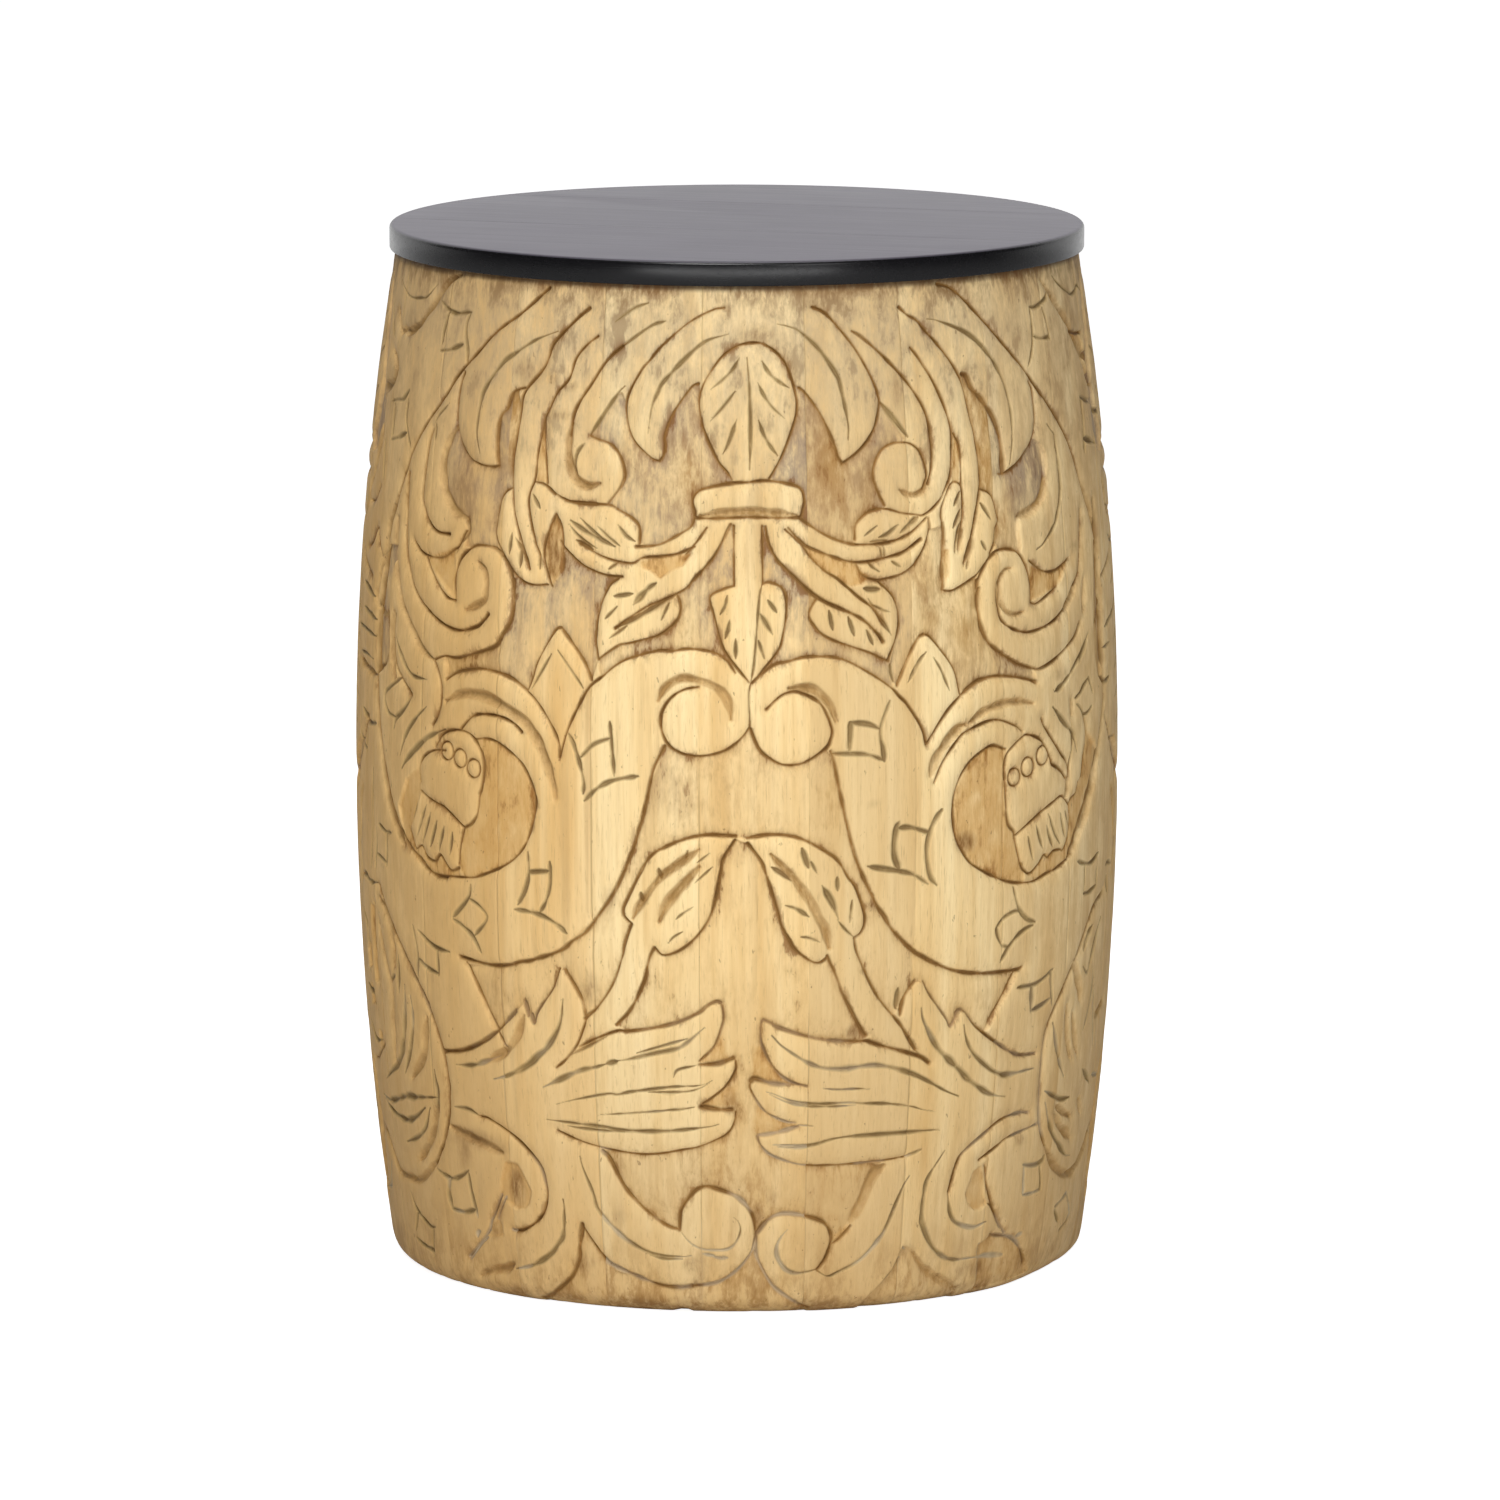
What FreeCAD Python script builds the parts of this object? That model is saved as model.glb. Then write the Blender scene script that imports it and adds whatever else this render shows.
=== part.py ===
import FreeCAD, Part
import math
import os
import Sketcher

# A drum side table that stands on its foot rim. Its outside is turned smooth and carved with foliage:
# the hollows between the leaves and scrolls are cut here, and the finer cuts are no part of it.
# The drum is glued up from upright planks, the staves, with mitred edges and flat inner faces, and
# its outside is turned to a belly. A many-sided ring inside the foot and another inside the mouth
# keep it round: each stave is glued to a flat of both and held to each by a screw from the inside.
# The round top is three boards glued edge to edge, screwed on from below through the mouth ring.
# Frame: millimetres, Z up, origin on the floor at the middle of the foot, -Y is the front.

DRIVING_SIZES = [
    # the turned drum with its top: two arcs that meet at the belly, and a rounded heel
    ("overall_height", 510),
    ("belly_radius", 187),
    ("belly_height", 250),
    ("mouth_draw_in", 20.5),
    ("heel_draw_in", 18.6),
    ("heel_rounding", 11),
    # the planks that the drum is glued up from
    ("stave_count", 22),
    ("stave_turn", 2.7),
    ("mouth_wall", 20.5),
    ("rough_allowance", 3),
    # how deep the carver lowers the hollows between the leaves and scrolls
    ("hollow_depth", 1.2),
    # the round top and its boards, whose two seams lie at shares of its radius from its middle
    ("top_overhang", 3),
    ("top_thickness", 12),
    ("top_upper_easing", 1.2),
    ("top_lower_easing", 0.9),
    ("front_seam_share", 0.212),
    ("back_seam_share", 0.472),
    ("grain_turn", -18),
    # the rings inside the foot and the mouth
    ("ring_width", 28),
    ("ring_thickness", 18),
    ("foot_ring_lift", 8),
    # the countersunk wood screws and the room in their holes
    ("shank_radius", 1.9),
    ("head_radius", 3.8),
    ("head_depth", 2.2),
    ("point_length", 3),
    ("screw_gap", 0.1),
    # how much of a stave's wall at the mouth, and of the top, a screw goes into
    ("grip_share", 0.6),
    # how far a cut runs past the wood that it removes
    ("cut_overrun", 5),
]

# The hollows of the carving, each an outline of corners: degrees round from the front, and percent
# of the drum's height. They are carved on the front half and again on the back half.
HOLLOWS = {
    "beside_bud_left": [
        (-23.3, 85.5), (-18.4, 83.7), (-17.5, 82.1), (-20.2, 79.1), (-15.9, 77.7), (-14.7, 75.5),
        (-8, 76.7), (-6.1, 80.3), (-0.6, 81.3), (-5.2, 86.9), (-5.8, 90.8), (-10.7, 86.9),
        (-11.9, 83.3), (-15.9, 85.1), (-18.4, 89.8),
    ],
    "beside_bud_right": [
        (4.9, 81.7), (9.5, 87.8), (8.9, 90.8), (12.3, 88.8), (16.5, 83.1), (20.8, 85.1),
        (23.3, 88.6), (27, 84.9), (22.1, 83.1), (23.3, 78.9), (19.3, 77.7), (18.1, 75.3),
        (9.5, 77.9), (10.1, 80.5),
    ],
    "upper_crescent_right": [
        (38.6, 90.8), (44.7, 86.1), (46, 80.9), (53.6, 83.7), (56.4, 82.1), (54.8, 77.9),
        (48.7, 76.5), (48.4, 72.7), (42.9, 74.5), (44.1, 76.5), (43.2, 78.7), (40.8, 79.7),
    ],
    "upper_crescent_left": [
        (-52.4, 81.3), (-50.6, 78.1), (-46, 76.5), (-46, 73.9), (-39.2, 73.9), (-38.9, 78.7),
        (-37.1, 79.9), (-37.1, 89.4), (-40.1, 86.7), (-40.1, 81.9), (-45.7, 82.1), (-49.6, 85.7),
    ],
    "stem_left": [
        (-21.1, 64.3), (-20.2, 62.7), (-13.8, 64.9), (-5.5, 65.5), (-0.3, 63.3), (-4, 70.5),
        (-0.3, 71.5), (-0.3, 77.3), (-8.9, 70.9), (-8.3, 69.3), (-10.4, 67.5),
    ],
    "stem_right": [
        (3.1, 62.9), (6.1, 65.5), (7.4, 69.1), (7, 71.1), (4, 71.7), (4, 77.3), (6.1, 74.1),
        (12.3, 70.3), (11, 68.7), (12.6, 67.1), (23, 64.1), (23.9, 61.8), (12.6, 64.7),
        (6.1, 64.1),
    ],
    "side_left": [
        (-49.6, 63.1), (-49, 60.8), (-41.1, 62.2), (-32.8, 60.6), (-27.3, 67.1), (-22.1, 62),
        (-20.2, 70.1), (-17.5, 72.3), (-23.6, 73.1), (-27, 74.7), (-29.1, 70.9), (-36.2, 71.3),
        (-36.5, 67.1), (-38.6, 64.9),
    ],
    "side_right": [
        (21.8, 71.7), (27.3, 72.7), (30.6, 76.3), (32.8, 76.5), (32.8, 70.5), (39.5, 71.1),
        (40.4, 65.5), (50.6, 61.6), (51.2, 60.2), (40.8, 61.4), (35.2, 60.2), (34.3, 62.9),
        (29.1, 66.3), (24.5, 61.4), (23.6, 63.7), (24.8, 69.1),
    ],
    "arch": [
        (-45.7, 33.1), (-39.8, 26.9), (-34, 30.3), (-32.2, 28.3), (-27.6, 33.7), (-23.3, 29.1),
        (-18.1, 34.1), (-15.9, 38.8), (-17.2, 40.2), (-12.6, 45.6), (-6.1, 47.4), (5.2, 47.6),
        (9.5, 47.2), (15.3, 44.8), (19.3, 39.6), (18.4, 35.7), (24.2, 29.5), (24.8, 30.1),
        (25.4, 29.5), (27.6, 32.5), (29.4, 32.5), (34.3, 27.7), (37.1, 29.1), (41.1, 26.7),
        (47.5, 32.1), (34.9, 33.1), (27.6, 35.5), (19, 43.4), (13.2, 55.8), (6.7, 54.4),
        (4, 55.4), (1.8, 58.2), (-3.4, 55.4), (-10.7, 56.2), (-18.1, 42.2), (-25.4, 36.5),
        (-34.3, 34.1),
    ],
    "between_leaves": [
        (-21.4, 16.1), (-16.9, 11.8), (-11, 9), (-9.2, 8.6), (-8, 11.6), (-4, 12.9), (1.2, 11.2),
        (3.1, 8.2), (7.4, 10.2), (13.8, 9.2), (16.9, 7.6), (23.3, 14.5), (9.5, 15.3), (3.4, 17.5),
        (3.1, 18.1), (9.5, 18.9), (4.6, 20.5), (2.1, 22.7), (3.7, 23.7), (8.9, 23.1), (4.3, 26.3),
        (4, 29.5), (13.8, 27.3), (19.9, 27.5), (13.5, 35.7), (11.3, 35.1), (8.6, 36.3),
        (1.5, 46.8), (-0.3, 47.2), (-1.8, 45.4), (-5.5, 38), (-9.5, 35.9), (-12.3, 36.5),
        (-15, 31.7), (-18.4, 28.7), (-11.9, 28.7), (-2.5, 31.3), (-2.5, 28.1), (-5.5, 25.5),
        (-0.6, 25.7), (0, 24.7), (-5.2, 20.9), (-0.6, 20.7), (-0.3, 19.3), (-5.8, 16.9),
    ],
    "foot_left": [
        (-35.2, 0.4), (-28.5, 2.8), (-25.4, 8.6), (-19.9, 4.2), (-13.8, 3), (-4.6, 3.2),
        (3.1, 6.6), (6.4, 2.6), (11.9, 0.6), (11.9, -0.4), (-34.9, -0.4),
    ],
    "foot_right": [
        (20.8, -0.4), (40.4, -0.4), (39.5, 1), (27.6, 6.2),
    ],
    "pod_left": [
        (-46.3, 43), (-40.8, 52.2), (-42.9, 55.4), (-35.5, 54.6), (-31.3, 50.2), (-33.1, 45.8),
        (-36.2, 43.8), (-42.3, 42), (-44.7, 41.8),
    ],
    "pod_right": [
        (34, 49.4), (36.5, 44.2), (48.4, 41), (44.4, 47.8), (44.1, 54.2), (41.7, 54.8),
        (37.1, 53.4),
    ],
}

# How far from the table's axis, as a share of the belly's radius, the carver's cuts reach in.
CUT_REACH_SHARE = 0.5

# Points nearer to each other than this share of the belly's radius count as one place.
SAME_PLACE_SHARE = 0.00001

# The most of the foot rim's width that the heel's rounding may take.
ROUNDING_LIMIT_SHARE = 0.8

# Expressions over the sizes that more than one piece follows.
DRUM_HEIGHT = "(Sizes.overall_height - Sizes.top_thickness)"
MOUTH_RADIUS = "(Sizes.belly_radius - Sizes.mouth_draw_in)"
HEEL_RADIUS = "(Sizes.belly_radius - Sizes.heel_draw_in)"
TOP_RADIUS = f"({MOUTH_RADIUS} + Sizes.top_overhang)"
HALF_STAVE = "(180 deg / Sizes.stave_count)"
CORE_INRADIUS = f"({MOUTH_RADIUS} - Sizes.mouth_wall)"
ROUGH_RADIUS = "(Sizes.belly_radius + Sizes.rough_allowance)"
RING_BORE = f"({CORE_INRADIUS} - Sizes.ring_width)"
RING_MIDDLE = f"({CORE_INRADIUS} - Sizes.ring_width / 2)"
MOUTH_RING_BASE = f"({DRUM_HEIGHT} - Sizes.ring_thickness)"
FOOT_SCREW_HEIGHT = "(Sizes.foot_ring_lift + Sizes.ring_thickness / 2)"
MOUTH_SCREW_HEIGHT = f"({DRUM_HEIGHT} - Sizes.ring_thickness / 2)"
HOLE_RADIUS = "(Sizes.shank_radius + Sizes.screw_gap)"
STAVE_SCREW_LENGTH = "(Sizes.ring_width + Sizes.grip_share * Sizes.mouth_wall)"
TOP_SCREW_LENGTH = "(Sizes.ring_thickness + Sizes.grip_share * Sizes.top_thickness)"

document = FreeCAD.newDocument("drum_side_table")
sheet = document.addObject("Spreadsheet::Sheet", "Sizes")
for row, (alias, number) in enumerate(DRIVING_SIZES, start=1):
    sheet.set(f"A{row}", alias)
    sheet.set(f"B{row}", str(number))
    sheet.setAlias(f"B{row}", alias)
document.recompute()


def size_of(expression):
    """The number that an expression over the sizes gives, in millimetres or degrees."""
    found = sheet.evalExpression(expression)
    return float(getattr(found, "Value", found))


def bind(item, **expressions):
    """Ties an object's properties to expressions over the sizes."""
    for name, expression in expressions.items():
        item.setExpression(name, expression)
    return item


def turn_about_z(item, degrees, height="0"):
    """Turns an object about the table's axis and lifts it, both by expressions over the sizes.
    The turn has its axis set by a first angle, because an angle of nothing has none."""
    item.Placement.Rotation = FreeCAD.Rotation(FreeCAD.Vector(0, 0, 1), 1)
    item.setExpression("Placement.Rotation.Angle", degrees)
    item.setExpression("Placement.Base.z", height)
    return item


def stave_angle(number):
    """Where a stave's middle stands about the table's axis; number 0 is the stave at the front."""
    return f"(Sizes.stave_turn - 90 + {number} * 360 / Sizes.stave_count)"


def new_body(label):
    """An empty body with a label of its own."""
    body = document.addObject("PartDesign::Body", label)
    body.Label = label
    return body


def new_sketch(body, name, role):
    """An empty sketch on one of the body's own origin planes."""
    sketch = body.newObject("Sketcher::SketchObject", name)
    plane = next(o for o in body.Origin.OriginFeatures if o.Role == role)
    sketch.AttachmentSupport = (plane, [""])
    sketch.MapMode = "FlatFace"
    return sketch


def pin_coordinate(sketch, kind, geometry, point, expression):
    """Ties one coordinate of a sketch point, measured from the sketch's origin."""
    number = size_of(expression)
    if number < 0:
        constraint = Sketcher.Constraint(kind, geometry, point, -1, 1, -number)
        expression = f"-({expression})"
    else:
        constraint = Sketcher.Constraint(kind, -1, 1, geometry, point, number)
    index = sketch.addConstraint(constraint)
    sketch.setExpression(f"Constraints[{index}]", expression)


def pin_point(sketch, geometry, point, across, up):
    """Ties a sketch point to a pair of expressions."""
    pin_coordinate(sketch, "DistanceX", geometry, point, across)
    pin_coordinate(sketch, "DistanceY", geometry, point, up)


def arc_between(start, end, centre_height):
    """The short arc from start to end whose centre lies at the given height."""
    chord_middle = (start + end) / 2
    rise = (end.y - start.y) * (centre_height - chord_middle.y)
    centre = FreeCAD.Vector(chord_middle.x - rise / (end.x - start.x), centre_height, 0)
    outward = (chord_middle - centre).normalize()
    return Part.Arc(start, centre + outward * (start - centre).Length, end)


def draw_outline(sketch, corners, arc_centre_heights):
    """Draws a closed outline through corners, which are pairs of expressions, and ties it down.
    A side whose number is in arc_centre_heights is an arc, run anticlockwise, whose centre lies at
    that height."""
    first = sketch.GeometryCount
    points = [FreeCAD.Vector(size_of(across), size_of(up), 0) for across, up in corners]
    for side, start in enumerate(points):
        end = points[(side + 1) % len(points)]
        if side in arc_centre_heights:
            line = arc_between(start, end, size_of(arc_centre_heights[side]))
        else:
            line = Part.LineSegment(start, end)
        sketch.addGeometry(line, False)
    for side, (across, up) in enumerate(corners):
        following = (side + 1) % len(corners)
        joined = Sketcher.Constraint("Coincident", first + side, 2, first + following, 1)
        sketch.addConstraint(joined)
        pin_point(sketch, first + side, 1, across, up)
    for side, height in arc_centre_heights.items():
        pin_coordinate(sketch, "DistanceY", first + side, 3, height)


def draw_circle(sketch, across, up, radius):
    """Draws a circle and ties down its middle and its radius."""
    centre = FreeCAD.Vector(size_of(across), size_of(up), 0)
    circle = Part.Circle(centre, FreeCAD.Vector(0, 0, 1), size_of(radius))
    geometry = sketch.addGeometry(circle, False)
    pin_point(sketch, geometry, 3, across, up)
    index = sketch.addConstraint(Sketcher.Constraint("Radius", geometry, size_of(radius)))
    sketch.setExpression(f"Constraints[{index}]", radius)


def add_feature(body, kind, name, profile, **expressions):
    """A pad, pocket or groove made from a sketch. A cut that removes nothing stops the script."""
    cuts = kind != "Pad"
    before = body.Shape.Volume if cuts else 0
    feature = body.newObject(f"PartDesign::{kind}", name)
    feature.Profile = profile
    if kind == "Pocket":
        feature.Reversed = True
    if kind == "Groove":
        feature.ReferenceAxis = (profile, ["V_Axis"])
        feature.Angle = 360
    bind(feature, **expressions)
    document.recompute()
    if cuts and not feature.Shape.Volume < before:
        raise RuntimeError(f"{body.Label}: {name} cuts nothing")
    return feature


def ease_rim(body, base, kind, name, rim, **expressions):
    """A fillet or chamfer on the arcs that run round the table's axis at a height and a radius,
    which are rim's two expressions."""
    height, radius = (size_of(expression) for expression in rim)
    near = size_of("Sizes.belly_radius") * SAME_PLACE_SHARE
    picked = []
    for number, edge in enumerate(base.Shape.Edges, start=1):
        curve = edge.Curve
        if not isinstance(curve, Part.Circle) or abs(curve.Radius - radius) > near:
            continue
        if curve.Center.isEqual(FreeCAD.Vector(0, 0, height), near):
            picked.append(f"Edge{number}")
    if not picked:
        raise RuntimeError(f"{body.Label}: {name} has no edge")
    easing = body.newObject(f"PartDesign::{kind}", name)
    easing.Base = (base, picked)
    bind(easing, **expressions)
    document.recompute()
    return easing


def make_stave(number):
    """A stave: a mitred plank, turned outside, its heel rounded, with a pilot hole for each ring."""
    body = new_body(f"plank_{number + 1:02d}")
    plan = new_sketch(body, "PlankPlan", "XY_Plane")
    inner_half = f"({CORE_INRADIUS} * tan({HALF_STAVE}))"
    outer_half = f"({ROUGH_RADIUS} * tan({HALF_STAVE}))"
    corners = [
        (CORE_INRADIUS, f"-{inner_half}"),
        (ROUGH_RADIUS, f"-{outer_half}"),
        (ROUGH_RADIUS, outer_half),
        (CORE_INRADIUS, inner_half),
    ]
    draw_outline(plan, corners, {})
    add_feature(body, "Pad", "Plank", plan, Length=DRUM_HEIGHT)

    waste = new_sketch(body, "TurnedWaste", "XZ_Plane")
    outside = f"({ROUGH_RADIUS} / cos({HALF_STAVE}) + Sizes.cut_overrun)"
    above = f"({DRUM_HEIGHT} + Sizes.cut_overrun)"
    below = "(0 - Sizes.cut_overrun)"
    corners = [
        (HEEL_RADIUS, "0"),
        ("Sizes.belly_radius", "Sizes.belly_height"),
        (MOUTH_RADIUS, DRUM_HEIGHT),
        (MOUTH_RADIUS, above),
        (outside, above),
        (outside, below),
        (HEEL_RADIUS, below),
    ]
    draw_outline(waste, corners, {0: "Sizes.belly_height", 1: "Sizes.belly_height"})
    turned = add_feature(body, "Groove", "Turned", waste)

    rim_width = f"({HEEL_RADIUS} - {CORE_INRADIUS} / cos({HALF_STAVE}))"
    heel_rounding = f"min(Sizes.heel_rounding; {ROUNDING_LIMIT_SHARE} * {rim_width})"
    ease_rim(body, turned, "Fillet", "Heel", ("0", HEEL_RADIUS), Radius=heel_rounding)

    pilots = new_sketch(body, "Pilots", "YZ_Plane")
    draw_circle(pilots, "0", FOOT_SCREW_HEIGHT, HOLE_RADIUS)
    draw_circle(pilots, "0", MOUTH_SCREW_HEIGHT, HOLE_RADIUS)
    pilot_end = f"({RING_BORE} + {STAVE_SCREW_LENGTH} + Sizes.screw_gap)"
    add_feature(body, "Pocket", "PilotHoles", pilots, Length=pilot_end)
    return turn_about_z(body, stave_angle(number))


def lowered_drum():
    """The turned drum's round shape, lowered by the hollows' depth."""
    lowered = "Sizes.hollow_depth"
    above = f"({DRUM_HEIGHT} + Sizes.cut_overrun)"
    below = "(0 - Sizes.cut_overrun)"
    heel = f"({HEEL_RADIUS} - {lowered})"
    belly = f"(Sizes.belly_radius - {lowered})"
    mouth = f"({MOUTH_RADIUS} - {lowered})"
    corners = [("0", below), (heel, below), (heel, "0"), (belly, "Sizes.belly_height"),
               (mouth, DRUM_HEIGHT), (mouth, above), ("0", above)]
    points = [FreeCAD.Vector(size_of(across), size_of(up), 0) for across, up in corners]
    lines = [Part.LineSegment(a, b) for a, b in zip(points, points[1:] + points[:1])]
    middle = size_of("Sizes.belly_height")
    lines[2] = arc_between(points[2], points[3], middle)
    lines[3] = arc_between(points[3], points[4], middle)
    profile = Part.Face(Part.Wire([line.toShape() for line in lines]))
    solid = profile.revolve(FreeCAD.Vector(), FreeCAD.Vector(0, 1, 0), 360)
    solid.rotate(FreeCAD.Vector(), FreeCAD.Vector(1, 0, 0), 90)
    return solid


def turned_radius(height):
    """The turned drum's radius at a height."""
    belly, middle = size_of("Sizes.belly_radius"), size_of("Sizes.belly_height")
    far, end = (HEEL_RADIUS, 0) if height < middle else (MOUTH_RADIUS, size_of(DRUM_HEIGHT))
    drop, rise = belly - size_of(far), end - middle
    arc = (drop * drop + rise * rise) / (2 * drop)
    return belly - arc + math.sqrt(arc * arc - (height - middle) ** 2)


def hollow_cutter(corners, drum, turn):
    """What the carver takes out of one hollow, and the degrees from the front between which it lies."""
    first, last = min(a for a, _ in corners), max(a for a, _ in corners)
    middle = (first + last) / 2
    near = size_of("Sizes.belly_radius") * CUT_REACH_SHARE
    reach = size_of(f"({ROUGH_RADIUS} + Sizes.cut_overrun)") - near
    points = []
    for degrees, percent in corners:
        height = size_of(DRUM_HEIGHT) * percent / 100
        across = turned_radius(height) * math.sin(math.radians(degrees - middle))
        points.append(FreeCAD.Vector(across, -near, height))
    outline = Part.Face(Part.makePolygon(points + points[:1]))
    cutter = outline.extrude(FreeCAD.Vector(0, -reach, 0))
    cutter.rotate(FreeCAD.Vector(), FreeCAD.Vector(0, 0, 1), middle)
    cutter = cutter.cut(drum)
    cutter.rotate(FreeCAD.Vector(), FreeCAD.Vector(0, 0, 1), turn)
    return cutter, first + turn, last + turn


def hollow_cutters():
    """The cutters for all the hollows of both halves."""
    drum = lowered_drum()
    return [hollow_cutter(corners, drum, turn) for turn in (0, 180) for corners in HOLLOWS.values()]


def carve_stave(number, plank, cutters):
    """A stave with its share of the hollows cut out. The staves at the two sides have none."""
    middle = size_of(stave_angle(number)) + 90
    half = size_of(HALF_STAVE)
    touching = []
    for cutter, first, last in cutters:
        for turn in (0, 360):
            if first + turn < middle + half and last + turn > middle - half:
                touching.append(cutter)
    label = f"stave_{number + 1:02d}"
    if not touching:
        plank.Label = label
        return plank
    tool = document.addObject("Part::Feature", f"{label}_hollows")
    tool.Shape = Part.makeCompound(touching)
    carved = document.addObject("Part::Cut", label)
    carved.Label = label
    carved.Base = plank
    carved.Tool = tool
    document.recompute()
    if not carved.Shape.Volume < plank.Shape.Volume:
        raise RuntimeError(f"{label}: its hollows cut nothing")
    return carved


def top_screw_angle(number):
    """Where a top screw stands about the table's axis: at every second seam between staves."""
    return stave_angle(f"(2 * {number} - 0.5)")


def make_board(label, near_seam, far_seam):
    """A board of the round top: the whole disc, sawn off at its seams, with the screws' pilots.
    Its own Y runs across the boards. A seam is an expression, or None where the rim ends it."""
    body = new_body(label)
    plan = new_sketch(body, "DiscPlan", "XY_Plane")
    draw_circle(plan, "0", "0", TOP_RADIUS)
    add_feature(body, "Pad", "Disc", plan, Length="Sizes.top_thickness")

    beyond = f"({TOP_RADIUS} + Sizes.cut_overrun)"
    waste = new_sketch(body, "SawnOff", "XY_Plane")
    for seam, end in ((near_seam, f"(0 - {beyond})"), (far_seam, beyond)):
        if seam is None:
            continue
        corners = [(f"(0 - {beyond})", seam), (beyond, seam), (beyond, end), (f"(0 - {beyond})", end)]
        draw_outline(waste, corners, {})
    through = "(Sizes.top_thickness + Sizes.cut_overrun)"
    sawn = add_feature(body, "Pocket", "Seams", waste, Length=through)

    upper, lower = ("Sizes.top_thickness", TOP_RADIUS), ("0", TOP_RADIUS)
    eased = ease_rim(body, sawn, "Chamfer", "UpperEdge", upper, Size="Sizes.top_upper_easing")
    ease_rim(body, eased, "Chamfer", "LowerEdge", lower, Size="Sizes.top_lower_easing")

    pilots = new_sketch(body, "Pilots", "XY_Plane")
    for number in range(top_screw_count()):
        angle = f"({top_screw_angle(number)} - Sizes.grain_turn) * 1 deg"
        across = f"({RING_MIDDLE} * cos({angle}))"
        up = f"({RING_MIDDLE} * sin({angle}))"
        draw_circle(pilots, across, up, HOLE_RADIUS)
    depth = "(Sizes.grip_share * Sizes.top_thickness + Sizes.screw_gap)"
    add_feature(body, "Pocket", "PilotHoles", pilots, Length=depth)
    return turn_about_z(body, "Sizes.grain_turn", DRUM_HEIGHT)


def stave_numbers():
    """The staves' numbers, from 0."""
    return range(int(size_of("Sizes.stave_count")))


def top_screw_count():
    """How many screws hold the top: one for every two staves."""
    return len(stave_numbers()) // 2


def add_solid(kind, name, height="0", **expressions):
    """A Part primitive on the table's axis, with its base at a height."""
    item = bind(document.addObject(f"Part::{kind}", name), **expressions)
    item.setExpression("Placement.Base.z", height)
    return item


def fused(name, pieces):
    """The fusion of some Part objects."""
    fusion = document.addObject("Part::MultiFuse", name)
    fusion.Shapes = pieces
    document.recompute()
    return fusion


def make_screw(name, length):
    """A countersunk wood screw, standing on its head at the origin."""
    neck = "Sizes.shank_radius"
    shank_top = f"({length} - Sizes.point_length)"
    head = add_solid("Cone", f"{name}_head", Radius1="Sizes.head_radius", Radius2=neck,
                     Height="Sizes.head_depth")
    shank = add_solid("Cylinder", f"{name}_shank", Radius=neck, Height=shank_top)
    point = add_solid("Cone", f"{name}_point", shank_top, Radius1=neck,
                      Height="Sizes.point_length")
    point.Radius2 = 0
    return fused(name, [head, shank, point])


def make_screw_hole(name, thickness):
    """What is bored out for such a screw to pass right through a ring of some thickness."""
    wide = "(Sizes.head_radius + Sizes.screw_gap)"
    mouth = add_solid("Cylinder", f"{name}_mouth", "(0 - Sizes.cut_overrun)", Radius=wide,
                      Height="Sizes.cut_overrun")
    sink = add_solid("Cone", f"{name}_sink", Radius1=wide, Radius2=HOLE_RADIUS,
                     Height="Sizes.head_depth")
    bore = add_solid("Cylinder", f"{name}_bore", Radius=HOLE_RADIUS,
                     Height=f"({thickness} + Sizes.cut_overrun)")
    return fused(name, [mouth, sink, bore])


def stave_screw_places(height):
    """Where the screws from a ring into the staves stand, at a height, pointing outwards."""
    outwards = FreeCAD.Rotation(FreeCAD.Vector(0, 1, 0), 90)
    start = FreeCAD.Placement(FreeCAD.Vector(size_of(RING_BORE), 0, size_of(height)), outwards)
    return [turned_placement(stave_angle(number), start) for number in stave_numbers()]


def top_screw_places():
    """Where the screws from the mouth ring into the top stand, pointing up."""
    place = FreeCAD.Vector(size_of(RING_MIDDLE), 0, size_of(MOUTH_RING_BASE))
    start = FreeCAD.Placement(place, FreeCAD.Rotation())
    return [turned_placement(top_screw_angle(n), start) for n in range(top_screw_count())]


def turned_placement(angle, placement):
    """A placement turned about the table's axis by an expression."""
    turn = FreeCAD.Rotation(FreeCAD.Vector(0, 0, 1), size_of(angle))
    return FreeCAD.Placement(FreeCAD.Vector(), turn).multiply(placement)


def make_copies(label, master, places):
    """A group of separate solids: copies of one solid at each of the places."""
    copies = [master.Shape.transformed(place.Matrix) for place in places]
    group = document.addObject("Part::Feature", label)
    group.Label = label
    group.Shape = Part.makeCompound(copies)
    return group


def make_ring(label, base, holes):
    """A many-sided ring, a flat for each stave, with a round bore and the screws' holes."""
    blank = add_solid("Prism", f"{label}_blank", base, Height="Sizes.ring_thickness",
                      Circumradius=f"({CORE_INRADIUS} / cos({HALF_STAVE}))",
                      Polygon="Sizes.stave_count")
    turn_about_z(blank, stave_angle("0.5"), base)
    bore = add_solid("Cylinder", f"{label}_bore", f"({base} - Sizes.cut_overrun)",
                     Radius=RING_BORE, Height="(Sizes.ring_thickness + 2 * Sizes.cut_overrun)")
    cutters = fused(f"{label}_cutters", [bore] + holes)
    ring = document.addObject("Part::Cut", label)
    ring.Label = label
    ring.Base = blank
    ring.Tool = cutters
    document.recompute()
    return ring


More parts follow.
